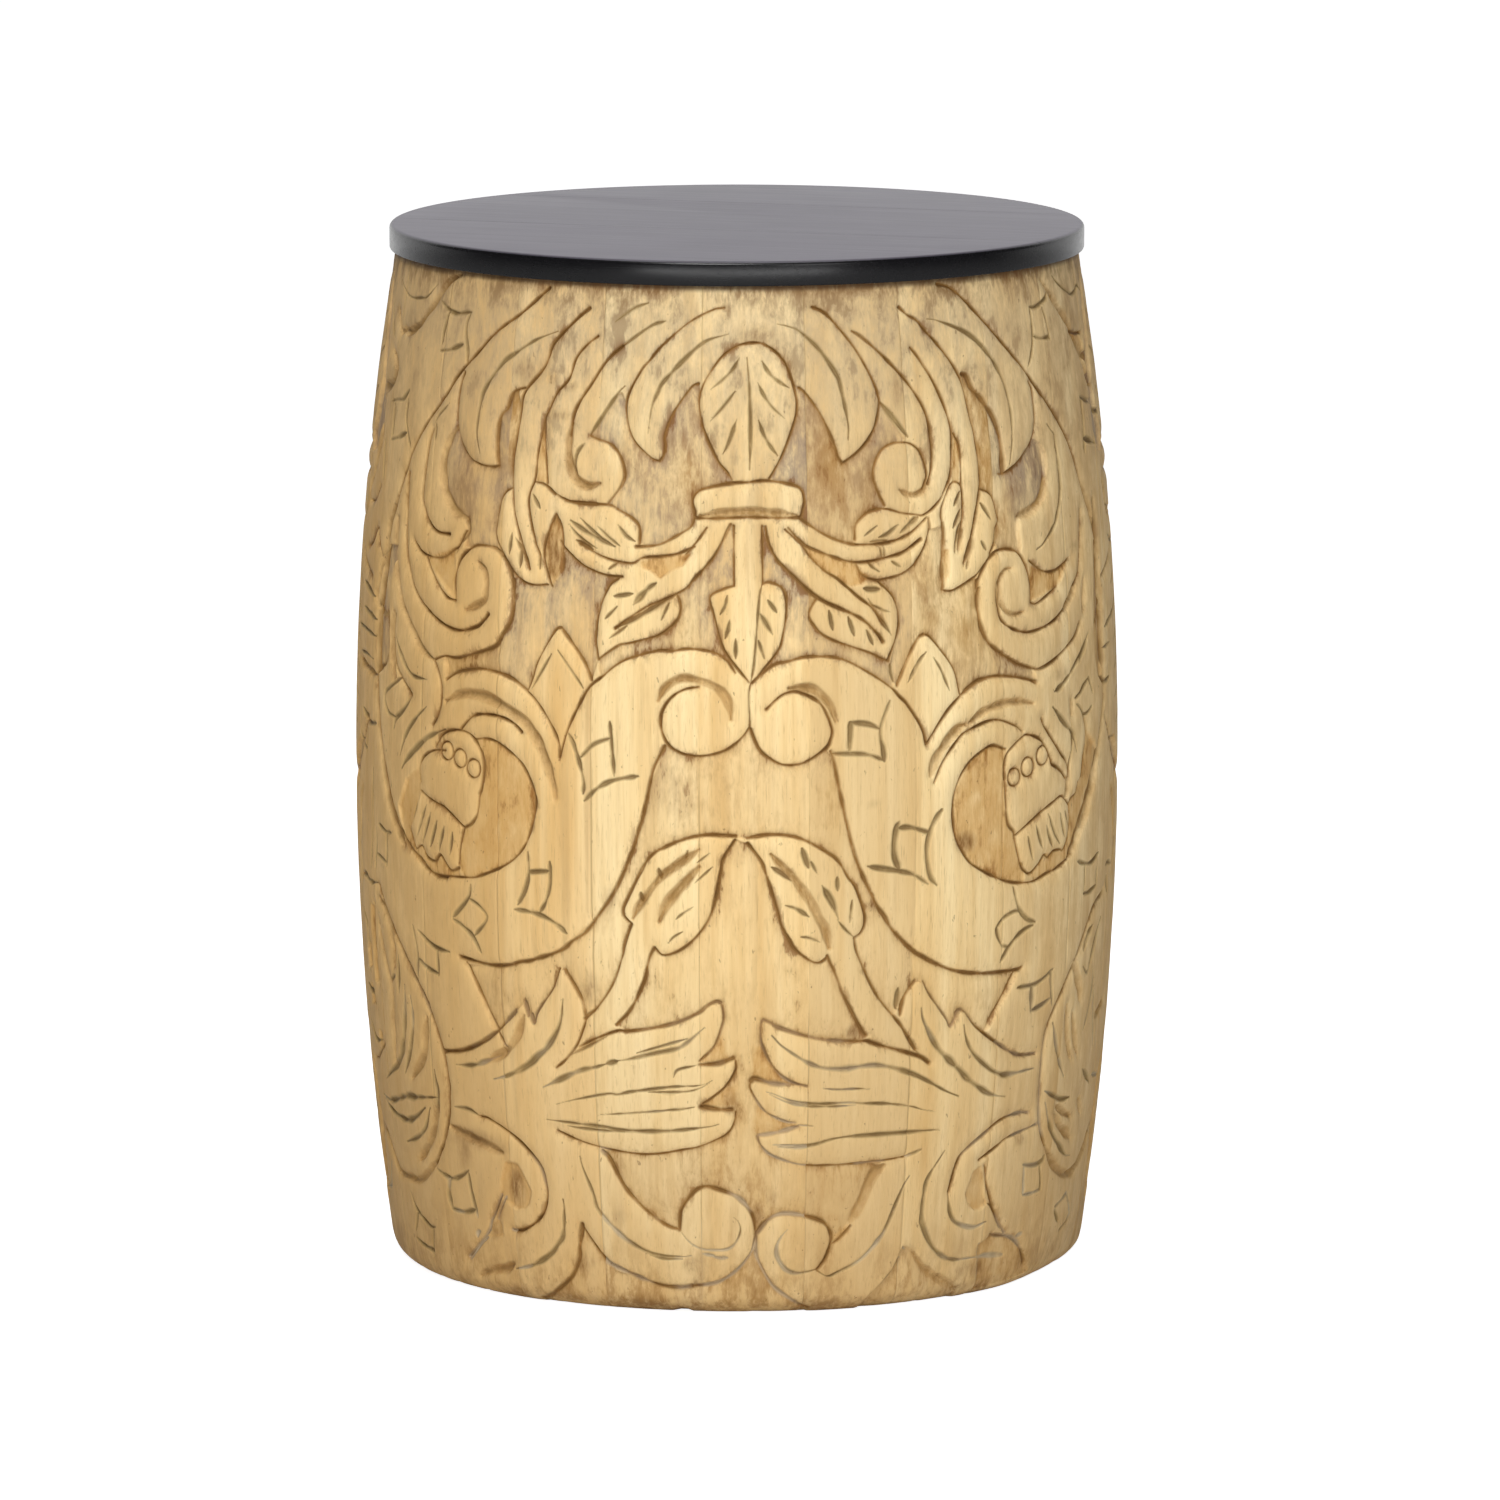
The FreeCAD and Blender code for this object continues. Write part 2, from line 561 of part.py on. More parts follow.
def make_pieces():
    """Every piece of the table, each a document object of its own."""
    cutters = hollow_cutters()
    staves = [carve_stave(n, make_stave(n), cutters) for n in stave_numbers()]
    front_seam = f"(0 - Sizes.front_seam_share * {TOP_RADIUS})"
    back_seam = f"(Sizes.back_seam_share * {TOP_RADIUS})"
    boards = [
        make_board("top_board_front", None, front_seam),
        make_board("top_board_middle", front_seam, back_seam),
        make_board("top_board_back", back_seam, None),
    ]
    stave_screw = make_screw("stave_screw", STAVE_SCREW_LENGTH)
    top_screw = make_screw("top_screw", TOP_SCREW_LENGTH)
    stave_hole = make_screw_hole("stave_screw_hole", "Sizes.ring_width")
    top_hole = make_screw_hole("top_screw_hole", "Sizes.ring_thickness")
    foot_places = stave_screw_places(FOOT_SCREW_HEIGHT)
    mouth_places = stave_screw_places(MOUTH_SCREW_HEIGHT)
    foot_holes = [make_copies("foot_ring_holes", stave_hole, foot_places)]
    mouth_holes = [
        make_copies("mouth_ring_holes", stave_hole, mouth_places),
        make_copies("top_screw_holes", top_hole, top_screw_places()),
    ]
    rings = [
        make_ring("foot_ring", "Sizes.foot_ring_lift", foot_holes),
        make_ring("mouth_ring", MOUTH_RING_BASE, mouth_holes),
    ]
    screws = [
        make_copies("foot_ring_screws", stave_screw, foot_places),
        make_copies("mouth_ring_screws", stave_screw, mouth_places),
        make_copies("top_screws", top_screw, top_screw_places()),
    ]
    return staves + boards + rings + screws


def check_document():
    """Stops the script if any object of the document failed."""
    for item in document.Objects:
        bad = [state for state in item.State if state in ("Invalid", "Error")]
        if bad:
            raise RuntimeError(f"{item.Label}: {', '.join(bad)}")


def write_piece(piece):
    """Writes one piece's shape, in the table's frame, after testing it."""
    shape = piece.Shape
    if shape.isNull() or not shape.isValid() or not shape.Solids:
        raise RuntimeError(f"{piece.Label}: no valid solid")
    shape.exportStep(os.path.join("parts", f"{piece.Label}.step"))


pieces = make_pieces()
document.recompute()
check_document()
os.makedirs("parts", exist_ok=True)
for piece in pieces:
    write_piece(piece)
print(f"{len(pieces)} pieces, {sum(len(p.Shape.Solids) for p in pieces)} solids")
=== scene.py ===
"""Drum side table: 22 glued staves carved all round with scrolling foliage, under a round top in black paint."""

import math
from functools import reduce

import bmesh
import bpy
import numpy as np
from bpy.props import FloatProperty, FloatVectorProperty, IntProperty, PointerProperty
from mathutils import Matrix, Vector


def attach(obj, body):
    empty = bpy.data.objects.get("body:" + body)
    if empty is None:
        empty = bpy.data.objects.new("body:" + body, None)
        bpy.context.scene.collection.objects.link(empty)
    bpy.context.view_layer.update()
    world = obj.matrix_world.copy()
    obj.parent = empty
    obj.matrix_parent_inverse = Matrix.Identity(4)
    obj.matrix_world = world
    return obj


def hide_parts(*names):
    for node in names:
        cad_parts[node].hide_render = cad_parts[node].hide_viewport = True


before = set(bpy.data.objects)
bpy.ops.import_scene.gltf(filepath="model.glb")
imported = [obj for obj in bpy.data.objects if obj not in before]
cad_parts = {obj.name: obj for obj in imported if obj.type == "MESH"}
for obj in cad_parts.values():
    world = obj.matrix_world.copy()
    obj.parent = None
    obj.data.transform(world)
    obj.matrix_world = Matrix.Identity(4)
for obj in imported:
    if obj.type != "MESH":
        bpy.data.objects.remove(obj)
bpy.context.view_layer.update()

bl_info = {
    "name": "Drum side table",
    "version": (1, 0, 0),
    "blender": (4, 5, 0),
    "location": "View3D > Sidebar > Drum table",
    "description": "Carves the staves, glues up the black top, drives the screws and sets the stage",
    "category": "Object",
}

# ---------------------------------------------------------------- the drum's own measures, in mm
HEIGHT = 498.0            # top of the staves
BELLY_R, BELLY_Z = 187.0, 250.0
MOUTH_R, HEEL_R = 166.5, 168.4
HEEL_ROUND = 11.0
INNER = 146.0             # from the axis to a stave's flat inner face
STAVES = 22
DRAWN = STAVES // 2       # the carving is drawn for half the drum and repeats on the other half
STAVE_W = math.tau * BELLY_R / STAVES     # one stave's width round the belly
HALF = DRAWN * STAVE_W
FRONT = 2.7               # stave 1's middle, in degrees from the front towards the right
LEFT_STAVES = 5           # how many of the drawn staves lie to the left of stave 1
SEAM_0 = BELLY_R * math.radians(FRONT - 180 / STAVES) - LEFT_STAVES * STAVE_W   # left seam of the drawn half
TOP_R, TOP_Z0, TOP_Z1 = 169.5, 498.0, 510.0
GRAIN = -18.0             # the top boards' grain, in degrees from +X
TOP_SEAMS = (-35.9, 80.0)  # the top's glue lines, measured across the grain
TOP_BOARDS = ("top_board_front", "top_board_middle", "top_board_back")

# The drawn staves from the left: how pale the board is, and how warm its tone
BOARD_TONES = (.2, .2, .12, .46, .76, .76, .2, .5, .46, .45, .35)
BOARD_WARMTH = (.8, .75, .7, .72, .5, .55, .4, .5, .4, .35, .5)

# The relief is kept as grids, with this many points to a mm
PX = 4.0

# A stave's outer face is a grid of this many steps across and up, joined to coarser faces where it is even
ACROSS, UPWARD = 128, 1208

# ---------------------------------------------------------------- the carving, drawn
# Each line of the carving: a kind and a width in mm, then its points as (distance round the belly from
# the front, height) in mm. o is the cut round a raised form, v a vein that runs out at both ends,
# g a wide gouge and n a scored line of even width.
BUD = """
o2 -2.4,406.8 -4.7,410.4 -9.4,415.6 -17.4,432.7 -18.6,447.4 -9.4,462.7 0,469.5 10.6,471.2 16.5,469.4 22.4,465 26.5,459.2 31,445 30.6,436.8 25.3,422.7 21.2,414.5 16.5,407.2
v2.2 5.4,464.5 6.6,450 7.1,432 6.6,411.5
v2 1.6,464.5 -1.8,459 -7,454 -13.2,449.4
v2 -.6,448.6 -6.5,441.5 -13.2,434.5
v2 .2,435.6 -4.1,424 -6.8,419
v2 13.2,462.7 16.5,457.4 21.2,453.3 27,450
v2 10.9,452.7 13.5,447.4 18.2,441 24.5,435.6
v2 11.2,435 13.5,428.6 17,422.7 20.8,418
o2.4 -1.8,405.1 -15.3,402.5 -20,400.4 -22,396.6 -20.8,391.5 -19.4,388.5 5.9,389 31.2,388.6 32.9,391.5 34.1,396.2 32.9,401 29.4,403.6 15.3,406.2 5.9,405.5 -1.8,405.1
g4.5 -18,389.5 6,391.6 30,389.5
"""
CROWN = """
o1.8 -6.5,487.6 -12.4,486.6 -25.3,480.4 -39.4,469.2 -45.3,462.7 -50,457.4 -56.8,444.5 -56.5,432.7 -52.4,424 -43,416.2 -39.2,415
o1.8 -39.2,415 -37.1,418 -36.5,422.7 -36.8,427.4 -32.4,438 -23,450.4 -19.4,452
v2.2 -4.1,475.5 -18.2,470.7 -37.1,453.3 -40.6,447.4 -43.5,440.4 -45.1,428
o2.4 40.6,487.4 46,485.3 51.8,480.4 63.5,466.8 71.8,452.7 74.7,445 75.1,439.2 72.4,430.4 68.2,424 62.4,418.6 54.1,413.5
o2 54.1,413.5 51.8,416.8 50.6,421.5 44.1,435.6 36.5,446.2 32.4,449.8
v2.3 21.2,480.1 27.1,478.8 32.9,476.5 43.5,467.4 52.4,455.1 54.1,449.8 57.4,432.1 57.1,424.5
"""
SCROLL_UPPER_LEFT = """
n1.6 -37.4,481.2 -45.3,478.6 -60.6,468.5
o2.4 -60.6,468.5 -66.5,464 -71,459 -75.7,452 -85,438 -87.8,425
g4 -86.5,431 -87.8,423 -87.3,414 -84,406 -77,402 -70,403.3
o2 -76.5,425.6 -72.4,424.1 -65.3,422 -60,416.8 -57.1,408.6 -58.8,402.7 -65.9,393.5
n2 -78.8,422 -82.4,418 -83.8,412 -82.4,406.8
v2 -76.5,425.6 -63,445 -58.2,450
o2 -65.9,393.5 -79.4,393 -87.6,394.5 -93.5,396.8 -99.4,400.4
v2 -47,489.5 -54.7,486.8 -65,480
o2 -74.7,472.7 -80.6,468.6 -86.5,462 -89.4,453.3 -91.8,449.8 -96.5,445 -100.6,436.8 -102.7,431 -99.4,402
o2.5 -80.6,485.6 -87.6,480.4 -100.6,468 -103,461.5 -106,455.6 -116.5,444 -118.2,434.5 -119.2,425 -120.6,415.6 -120.8,406 -119.2,391 -117,382.7 -107.6,360.3
o1.8 -103,431 -106,415.6 -106.7,404 -109.8,395.6 -109.4,388.6 -104.7,373.3 -101.8,367.4
o2 -120.8,398 -124.7,396 -127.4,391.5 -129.1,380.4 -129.4,375 -125.3,368 -116,357.4 -110,353.8 -104,353 -97,353.8
o2 -106.5,402 -100.6,401 -94.7,396.8
v2 -107,396 -102.4,390
v2 -116.5,375 -108.8,364.4 -107.6,360.3
v2 -105.9,374 -102,368 -101,361
v1.8 -118.5,377 -119.6,367
v1.8 -112.8,370 -112.6,361
"""
LEAVES_LEFT = """
o2 -89,394 -65.9,393.5 -59.4,391 -52.4,387.4 -48.8,383.3 -48.5,375.6
o2 -90,375 -87.6,371.5 -77,363.8 -65.3,360 -57,359.7
o2.2 -79.4,374.4 -66.5,368.5 -52.4,366.2 -46.5,369 -37,370 -28.8,371.5 -20.6,375
v3 -84.7,385.3 -76,380.4 -60.6,374
v1.5 -79.4,386.8 -72.4,381 -64,375.6
v2 -70,383.3 -63.5,378 -58.2,374.5
v2 -59.4,384.5 -54.7,379.2 -50.6,376.8
v2 -81.2,376 -72.4,372
v2 -63.5,363.2 -59.4,366.2
v1.8 -85.5,383.5 -81,379 -76,375.3 -70,372.6
o2.2 -20.8,388.4 -22.4,384.5 -26,382 -36.5,376.2 -42.4,374.7 -50,374.2
o2 -14.7,384 -20,376.8 -24.7,371.5
o2.5 -2.9,385.6 -11.2,370.3 -21.8,358.5 -24.7,355 -36.5,349 -44.7,345.6 -60,335
o2 -30,352.6 -28,349.7 -27.4,345 -28.8,340.3 -33.5,335.6 -39.4,332 -51.2,328.5 -58.2,326.8 -68.6,319.7
o2 -68.6,319.7 -69.8,329 -68.6,343 -63.5,355 -58.8,359
v3 -58.2,336 -50,340.3 -31,351.5
v3 -50.6,346.8 -43,355 -39.4,357.4
v2 -33,348 -36.5,340
v2 -64.7,339.7 -58.8,345.6
v2 -62.4,330.3 -53.5,336.8
v2 -60.6,350.3 -51,352
o2 -88.8,361 -88.6,368 -89.6,380.4 -93.5,387.4
o2 -94.7,353.2 -99.6,368 -97,380.4 -93.5,387.4
"""
STEM = """
o1.8 -1.4,385 -1.2,356.4
o1.8 12.7,385 12.9,357.4
n1.4 12.4,357 11,350 8.5,320.4 7,311
o2 -1.2,356.4 -6.5,354.8 -12.9,351 -10.6,341 -7,328 -3.5,322 6,310.5
v1.8 -4.5,352 -5.6,347 -7.9,343
v1.8 -3.3,340.6 -4.1,336 -5.5,331.5
v1.8 -.4,331.5 -.4,322
o2 12.9,357.4 16.5,358 23,354.4 24.5,344.4 22.2,330.5 20.3,325.5 12.7,316 7,310
v2 15.2,349.8 19.4,344
v3 11.6,343.2 17.4,333.5
v2 10.6,330.5 13.4,322
"""
LEAVES_RIGHT = """
o2.4 31.2,388.4 43.4,380.4 55.3,375.6 63.2,374.6 77.4,375.1 88.7,378.4 98.9,385.4
o2.4 25.6,383.8 32,377 36,374.2 47.4,369.6 55.3,367.1 63.8,366.3 77.4,368.2 85.3,370.1 95,375.5
o2 24,383 32.8,375 36,370.2 43.4,363.1 50.2,358.8 60.4,350 67.2,344.7 72.3,337.6
o2.6 14.4,384.6 15.6,377.4 20,368.6 24,364.6 40,350.3 61,340 70.2,331.8 72.8,328
o2 59.5,377.2 60.4,384 64.9,388.6 70.6,390.9 77.4,390.8 84.8,388.6 92.7,387.4 96.7,386.8 102.3,389.4 108.6,394.8 112.5,401.6
o2 59.5,365.9 62.7,360.2 70,357.4 74,357.7 82.5,359.2 89.3,362.5 96.7,371 100.1,379.5 100.1,385.2
v1.5 64.1,378.9 70.9,383.5
v2.4 71.7,377.8 76.3,379.2 82.5,383.5
v3 83.6,379.5 91,384.6 93.8,386
v2.5 67.2,375.9 76.3,376.2
v2 72.3,372.7 73.2,368.2
v2.2 74.3,372.7 74.8,368.2
v2 66.1,365.9 68.3,363.6 71.4,361.6
v2 78.5,365.9 82.8,363.3
o2 39.8,350 37.2,346.6 35.5,342.4 37.2,338 44.8,331 66,323 71,320.4 75.3,318.7
o2 75.3,318.7 80.4,330.5 81.7,338 80.8,344 78.3,350 71,357
v2 55,340.7 57.7,331.8
v2 45.3,344 47,334.8
v2 64.3,334 67.3,327
v2.5 65.2,349.2 77,331
v2 67.7,345.8 72.8,343.2 76.2,342.2
v3 63.2,354 66.6,353.3 71.2,353.2
n1.5 76.6,317 77,312.8 78.3,308.5
o2 108,382.3 107.4,386.3 108.6,390.8 113.7,399.6 116.5,401.3 119.3,400.5 121,397.6 120.5,385.2
v2 114.8,390.3 119.3,396.5
v2 113.7,379.8 119,388
v3 114.2,368.2 117.1,378.4 119,382.3
v2.5 116.5,367.6 119.3,378.4
v3 119.3,360.8 123.9,369.9 126,376
v2 121,359.7 122.5,363.6
o2 106.9,350.6 109.7,349.7 113.7,350 125.4,354.6 130,357.7 135.4,362.3 140.8,365.4
o2.6 106.9,350.6 107.4,354 106.9,359.7 108.6,376.7 108,382.3
"""
SCROLL_UPPER_RIGHT = """
o2.5 61.8,475.6 67,472.7 80,462 93,448.6 101.8,434.5 104,418 103,408.6 100.6,401.5
v2.6 75.3,442 90,424.5
o2 75.9,392.7 71.2,402.7 70.4,408.6 72.4,414.5 75.3,418.6 80,421.2 85.3,422 91.8,421 96.5,417.4 99.4,411 100,405 97.6,399.2
g3 100,405 97.6,399.2 93,397 88.2,397.4 84.5,399.6
o2.2 95,466.4 99.8,460.8 108.6,447.6 116,429.2 116,416.4 113.8,403.6 109.4,396.4
o2.5 90,485.6 95,481.6 99.8,479.2 104.6,474 110.2,468.8 119.8,458 125.8,447.6 129.8,430 131.8,421.2 133.2,405.2 132.3,396 123.8,370 120,362.3
o1.6 117.8,424.4 121.4,417.2 120.8,400 121,388.5 116.5,369.2
v2.4 105.8,479.4 111.8,478.4 129.4,472 139.8,465.2 149.4,454.8 155,444.4 157.8,432.4 157.4,419.6 154.2,406.8
o3 126.2,452 129.4,450.8 132.6,444.4 138.2,439.6 146.2,429.2 150,418 150,402.8
o2 146.2,402.8 150.2,402.4 160.6,406.4 171,413.6 176.6,420.4 178.6,427.6 178.2,440.4 176.2,444.4
o2.5 115,495.2 120.6,494 127,490.8 136.6,483.2 165.4,457.6 170.2,453.6 184.6,438.8 189.4,434.8 203.8,420 212.6,408.4 221.7,390.6
g4.4 221.7,390.6 225.5,383.8 231.6,374.6 238.4,356.4 240.4,336.6 242.2,329 237.6,325.9 232.3,322.1
v2.5 187.8,422.8 191,419.6 193.8,417.2 194.2,411.6 195.4,406 195.4,390 190,377.7 186,373 176,366.2 170.4,364.2
g4 183.5,397 179.2,388.5 170,383 159.2,381
o2 133,396.5 137.7,395 140.8,392.3 143.8,380.8 141.5,377 140.4,370.8 137,365.4
v2.2 132.3,390 137.7,382
v2.2 130.8,372 133.8,367.7
"""
SQUARES_RIGHT = """
n2.5 183,479.4 189.4,478.8 200.6,481.6 204.2,484
n2 183.4,479.2 183.8,474 183.4,466 181.4,459.6 176.6,451.6
n2 196.2,478 198.2,472.4 200.6,462
n2.5 184.6,465.2 191,463.6 199.8,463.4
n2.5 55,290.3 64.3,289 70.2,286.5
n2.5 55.4,290 54.8,277.2
n2.5 46,275.5 59.2,275 66,273.8 72,271.3
n2.5 75.7,299.6 71,288.2 70.7,282.3 72,276.4 72.5,271
n3 80.3,241 78.9,237.9 77.6,230 78.1,223.8 80.3,218.5
n2.5 78.9,237.9 86,237.9 96.6,234.6
n3 103.7,245 100.2,241 97.1,235.3 95.3,228.2 95.6,221.1 97.5,213.1 101.1,208.7
n2.5 64.1,220.4 84.2,216.2 90.4,213.6 96.2,209.6
n2.4 138.2,183.9 141.8,187.5 146.2,189.7 151.5,190.8 154.2,190.1
n2.4 149.7,202.5 151.9,195.4 155,190.1 160.4,185.7 166.5,183.5
n2.4 138.2,183.9 139.6,179.5 142.7,175.1 146.6,173.8
n2.4 141.8,166.7 146.2,172.4 152.4,177.7 158.6,180.8 164.8,182.2
n2.5 155,152.6 167.8,152.6 175.7,154.6 183.5,158.2
n3 166.1,151.7 166.5,139.3
n2.5 166.5,139.7 174.4,141.2 181.6,143.5
n2.5 181.6,157.6 182.2,150.4 184.8,139.9
n2.5 169.2,62.9 175.3,61.6 181.3,61.2 186.5,62.1 189.5,64.2
n2 170.5,62.1 171.8,48.2
n2 171.8,47.3 179.6,47.1 188.3,47.8
n2 184.8,59.5 187,53.4 187.8,47.8
n2.5 207.7,36 214.9,37.7 222.1,40.5
n2.5 222.8,39.9 231.9,29
n2.5 207.7,34 213.6,28.1
n2.5 218.2,22.2 225.4,24.8 231.9,28.8
n2.5 204.2,208 212,206 221.2,205.1 231.6,208.3
n1.6 212.7,204.7 212.4,191
n2.4 212,191 218.5,190.7 229,192.6
n1.6 229,201.5 228.8,193
n3 230.8,431.4 245.3,427.6 252.9,428.2
n3 231.6,431 232,421.8 229.7,405.1
n3 230.8,411.2 250.6,406.6
n2.4 201.5,288.4 207,290.8 210,293 216.2,296
n2.4 202.3,285.4 206.2,283 212.3,276.2
n2 209.4,279.3 214.6,279.6 220,282
n2 216.6,296.3 221.2,289
"""
VOLUTE_SIDE_RIGHT = """
o2.6 129,349.6 127.7,343 129.6,331.5 132.3,326 136,321.5 151.5,312 165.4,307.3 171.5,306.5 183.8,309.6 200.8,316.5 205.4,319.6 209.6,324.2
o2.4 128,349.6 128.8,353.8 133,359.2 137.7,364.6 144.6,366.5 155.4,365 161.5,358.5 165,349.2 165,339.2
o2.4 165,339.2 168.8,338 173.8,339.2 187.7,344.2
o2.2 165.4,359.2 175.4,353.5 185.4,352 195.4,354.2 200.8,356.5
g3 151.5,357 147.7,357 143.8,354.2 141.8,350.4 141.6,345 143.4,340 147,336.4 152,334.8 159.2,335.4
o2.4 140.8,350.8 140.2,346.2 140.8,339.6 143,333 151.5,327.7 163.8,325 182.3,327.7 193.8,333 197.7,336.2
g4.6 193.8,333 202.3,340 205,343
o2.4 205,343 210,347.7 212.3,353 217.8,377.7
v3 206,305 207.7,308.4 213.8,313.8 217.7,318.5
n2.4 195.4,300.8 213.8,313.8
g4 217,344.2 214.8,336.6 214,329
"""
VOLUTE_SIDE_LEFT = """
o2.4 -155,341 -156,352 -153,361 -146.5,366.8 -140.6,369 -127.6,368 -120,360.3 -117.6,355 -117,341 -118.8,333.8 -123,328 -126.5,322.6 -132.4,319.7 -152.4,313.8 -162,313.5 -170,311
g3.4 -140,361 -136,358.5 -134,353.8 -133.8,349 -135.3,343 -146.5,337.6
o2.5 -132,336.8 -136,332.6 -140.6,329.7 -152.4,327 -166,329.5 -181,336.7 -188.7,342.8 -194,350 -199.8,365 -202.5,398
g4 -211.4,375 -210.3,360.6 -208,350.6 -204,340.6 -200,334 -185,319.4 -178.7,314.4 -170,310.6
o2 -192,366 -185.3,361.7 -178.7,360.2 -170,360.2 -164,361.7 -158,365.5 -154.7,367 -150,375
o2 -180,359.4 -170,348.3 -162,342.2 -155.3,341
v2.4 -98.2,474 -111.2,469.2 -124,462 -131.2,457.4 -141.8,445 -144.7,438 -146,422.7 -142.7,413
o2 -160,450 -162,445 -163,436.8 -162.4,427.4 -159.4,419.2 -154.7,413.3 -148.8,409.2 -141.8,407.4 -133.5,407.2 -130.6,408
o2.4 -130.6,408 -131.8,413.3 -132.6,425 -131.2,432 -127.6,435.6 -124.7,442.7 -120.6,445 -116.5,446
g4 -162.6,423.5 -166.4,419 -169.8,412.4 -171.4,404.7 -169.2,394.7 -165.3,389 -159.4,384 -150,380.6
n2 -149.4,380.4 -148.2,375.6 -151.2,370
o2.5 -182,421 -184.8,413.6 -187,389 -183.7,381.3 -178.7,375.8 -172,372.5 -162,372.3
v2 -170.3,433.6 -177.6,428 -179.8,424
v2 -178.7,424 -178.4,416.3
o2.5 -106,494 -123,481 -134.7,474 -143,468 -150,461.5 -165,448.5 -174,438 -192,420 -202,407 -205,400 -209,393.5 -212,387
g4.4 -212,387 -215,380 -220,371.5 -223,360.6 -226.4,354 -232.6,338 -233,333 -228.7,328.3 -221,326.7 -217.6,327.8
o3 -217.6,327.8 -215.3,311.7 -217.6,304 -225,300.6 -229.8,298 -228,288 -226.4,278 -220,259.4 -215,249.5 -210,239 -200,225.6 -192,218 -182,212.8 -175,208.3 -167.6,206 -160,206
o2.4 -208,328.3 -208.7,319.4 -205.3,305 -199.8,299.4 -188.7,291.7
v2.2 -205.3,319.4 -201,312.8 -188.7,302 -173.7,300.8
g4.6 -209.8,329.4 -211,319.4 -208.7,306 -205.3,298.3
n2.4 -199.8,298.3 -209.8,292.8 -215.3,289.4 -215.3,284 -211,280 -203.7,279
n2.4 -188.7,291.7 -191,287.2 -197.6,281.7 -203,278.3 -204.8,273.3
v2.2 -174,287.8 -181,282.8 -188.7,276 -194,269.4 -198,261
v3 -160,278.3 -170,274.4 -178.7,269.4 -192,259.4 -196,255
o2 -169.8,310.6 -166,305 -163.7,298.3 -163.7,290.6 -166.4,284 -169.8,279.4
"""
POD_LEFT = """
o2.4 -160,302.6 -152.4,306.8 -143,309 -133.5,310 -118.2,307.7 -106.5,301.5 -99.4,295 -91.8,284.4 -88.8,277.4 -88.5,271.5
g5 -160,292 -152.4,295.6 -144,297.4 -134.7,297.4 -126.5,295.6 -111.2,289 -104,283.2 -98.2,275 -91.8,258.5 -90.6,252
o2.2 -148.8,279.7 -144,284.4 -139.4,287.4 -132.4,288.5 -123,288.2 -114.7,285.6 -110,282
o2 -140,275.6 -131.2,276.8 -123,275 -110,266.8 -103,255 -101.8,246 -107.6,228.3 -118.2,217.7 -138.2,209 -146.5,207.7 -170,206
o2.2 -167.6,269 -163,275 -157,278 -148.8,279 -141.8,277.4 -136.5,272.6 -133.5,266.8 -133.3,259.7 -134.7,252.6 -136,249.5
o2 -160,268 -170,266.7 -177.6,262.8 -181,257 -180,250.6
o2 -180,246 -174,243.5 -167,241.5 -160.6,240 -146.5,232
o2.2 -136,249.5 -137.6,240 -141.2,234.8 -146.5,232
o2 -146.5,232 -149.4,223 -150.6,214
o2.2 -185.3,216.7 -180,219 -175,214 -168.8,213 -164.7,216.5 -157,210 -150.6,211.8
o2 -190,225.6 -185.3,216.7
v2.2 -181,242 -187,229.4
v2.2 -174,240 -182,224
v2.2 -170.3,236.7 -177.6,221
v2.2 -165.5,233 -171,220
v2.2 -160,231.2 -164.7,218.3
v2.2 -154,229 -156,217.7
o1.8 -154.3,268 -155.6,271.2 -158.8,272.5 -162,271.2 -163.3,268 -162,264.8 -158.8,263.5 -155.6,264.8 -154.3,268
o1.8 -144.9,265.4 -146.2,268.6 -149.4,269.9 -152.6,268.6 -153.9,265.4 -152.6,262.2 -149.4,260.9 -146.2,262.2 -144.9,265.4
o1.8 -135.5,261.5 -136.8,264.7 -140,266 -143.2,264.7 -144.5,261.5 -143.2,258.3 -140,257 -136.8,258.3 -135.5,261.5
o2 -107,302 -104,309 -101.8,316 -94.7,328.5 -91.2,333 -89,333.6
o2 -89,333.6 -77,319.7 -71.8,309.7
v2 -93,321 -104,303.5
v2 -89.6,323 -78.2,309 -76,305.6
"""
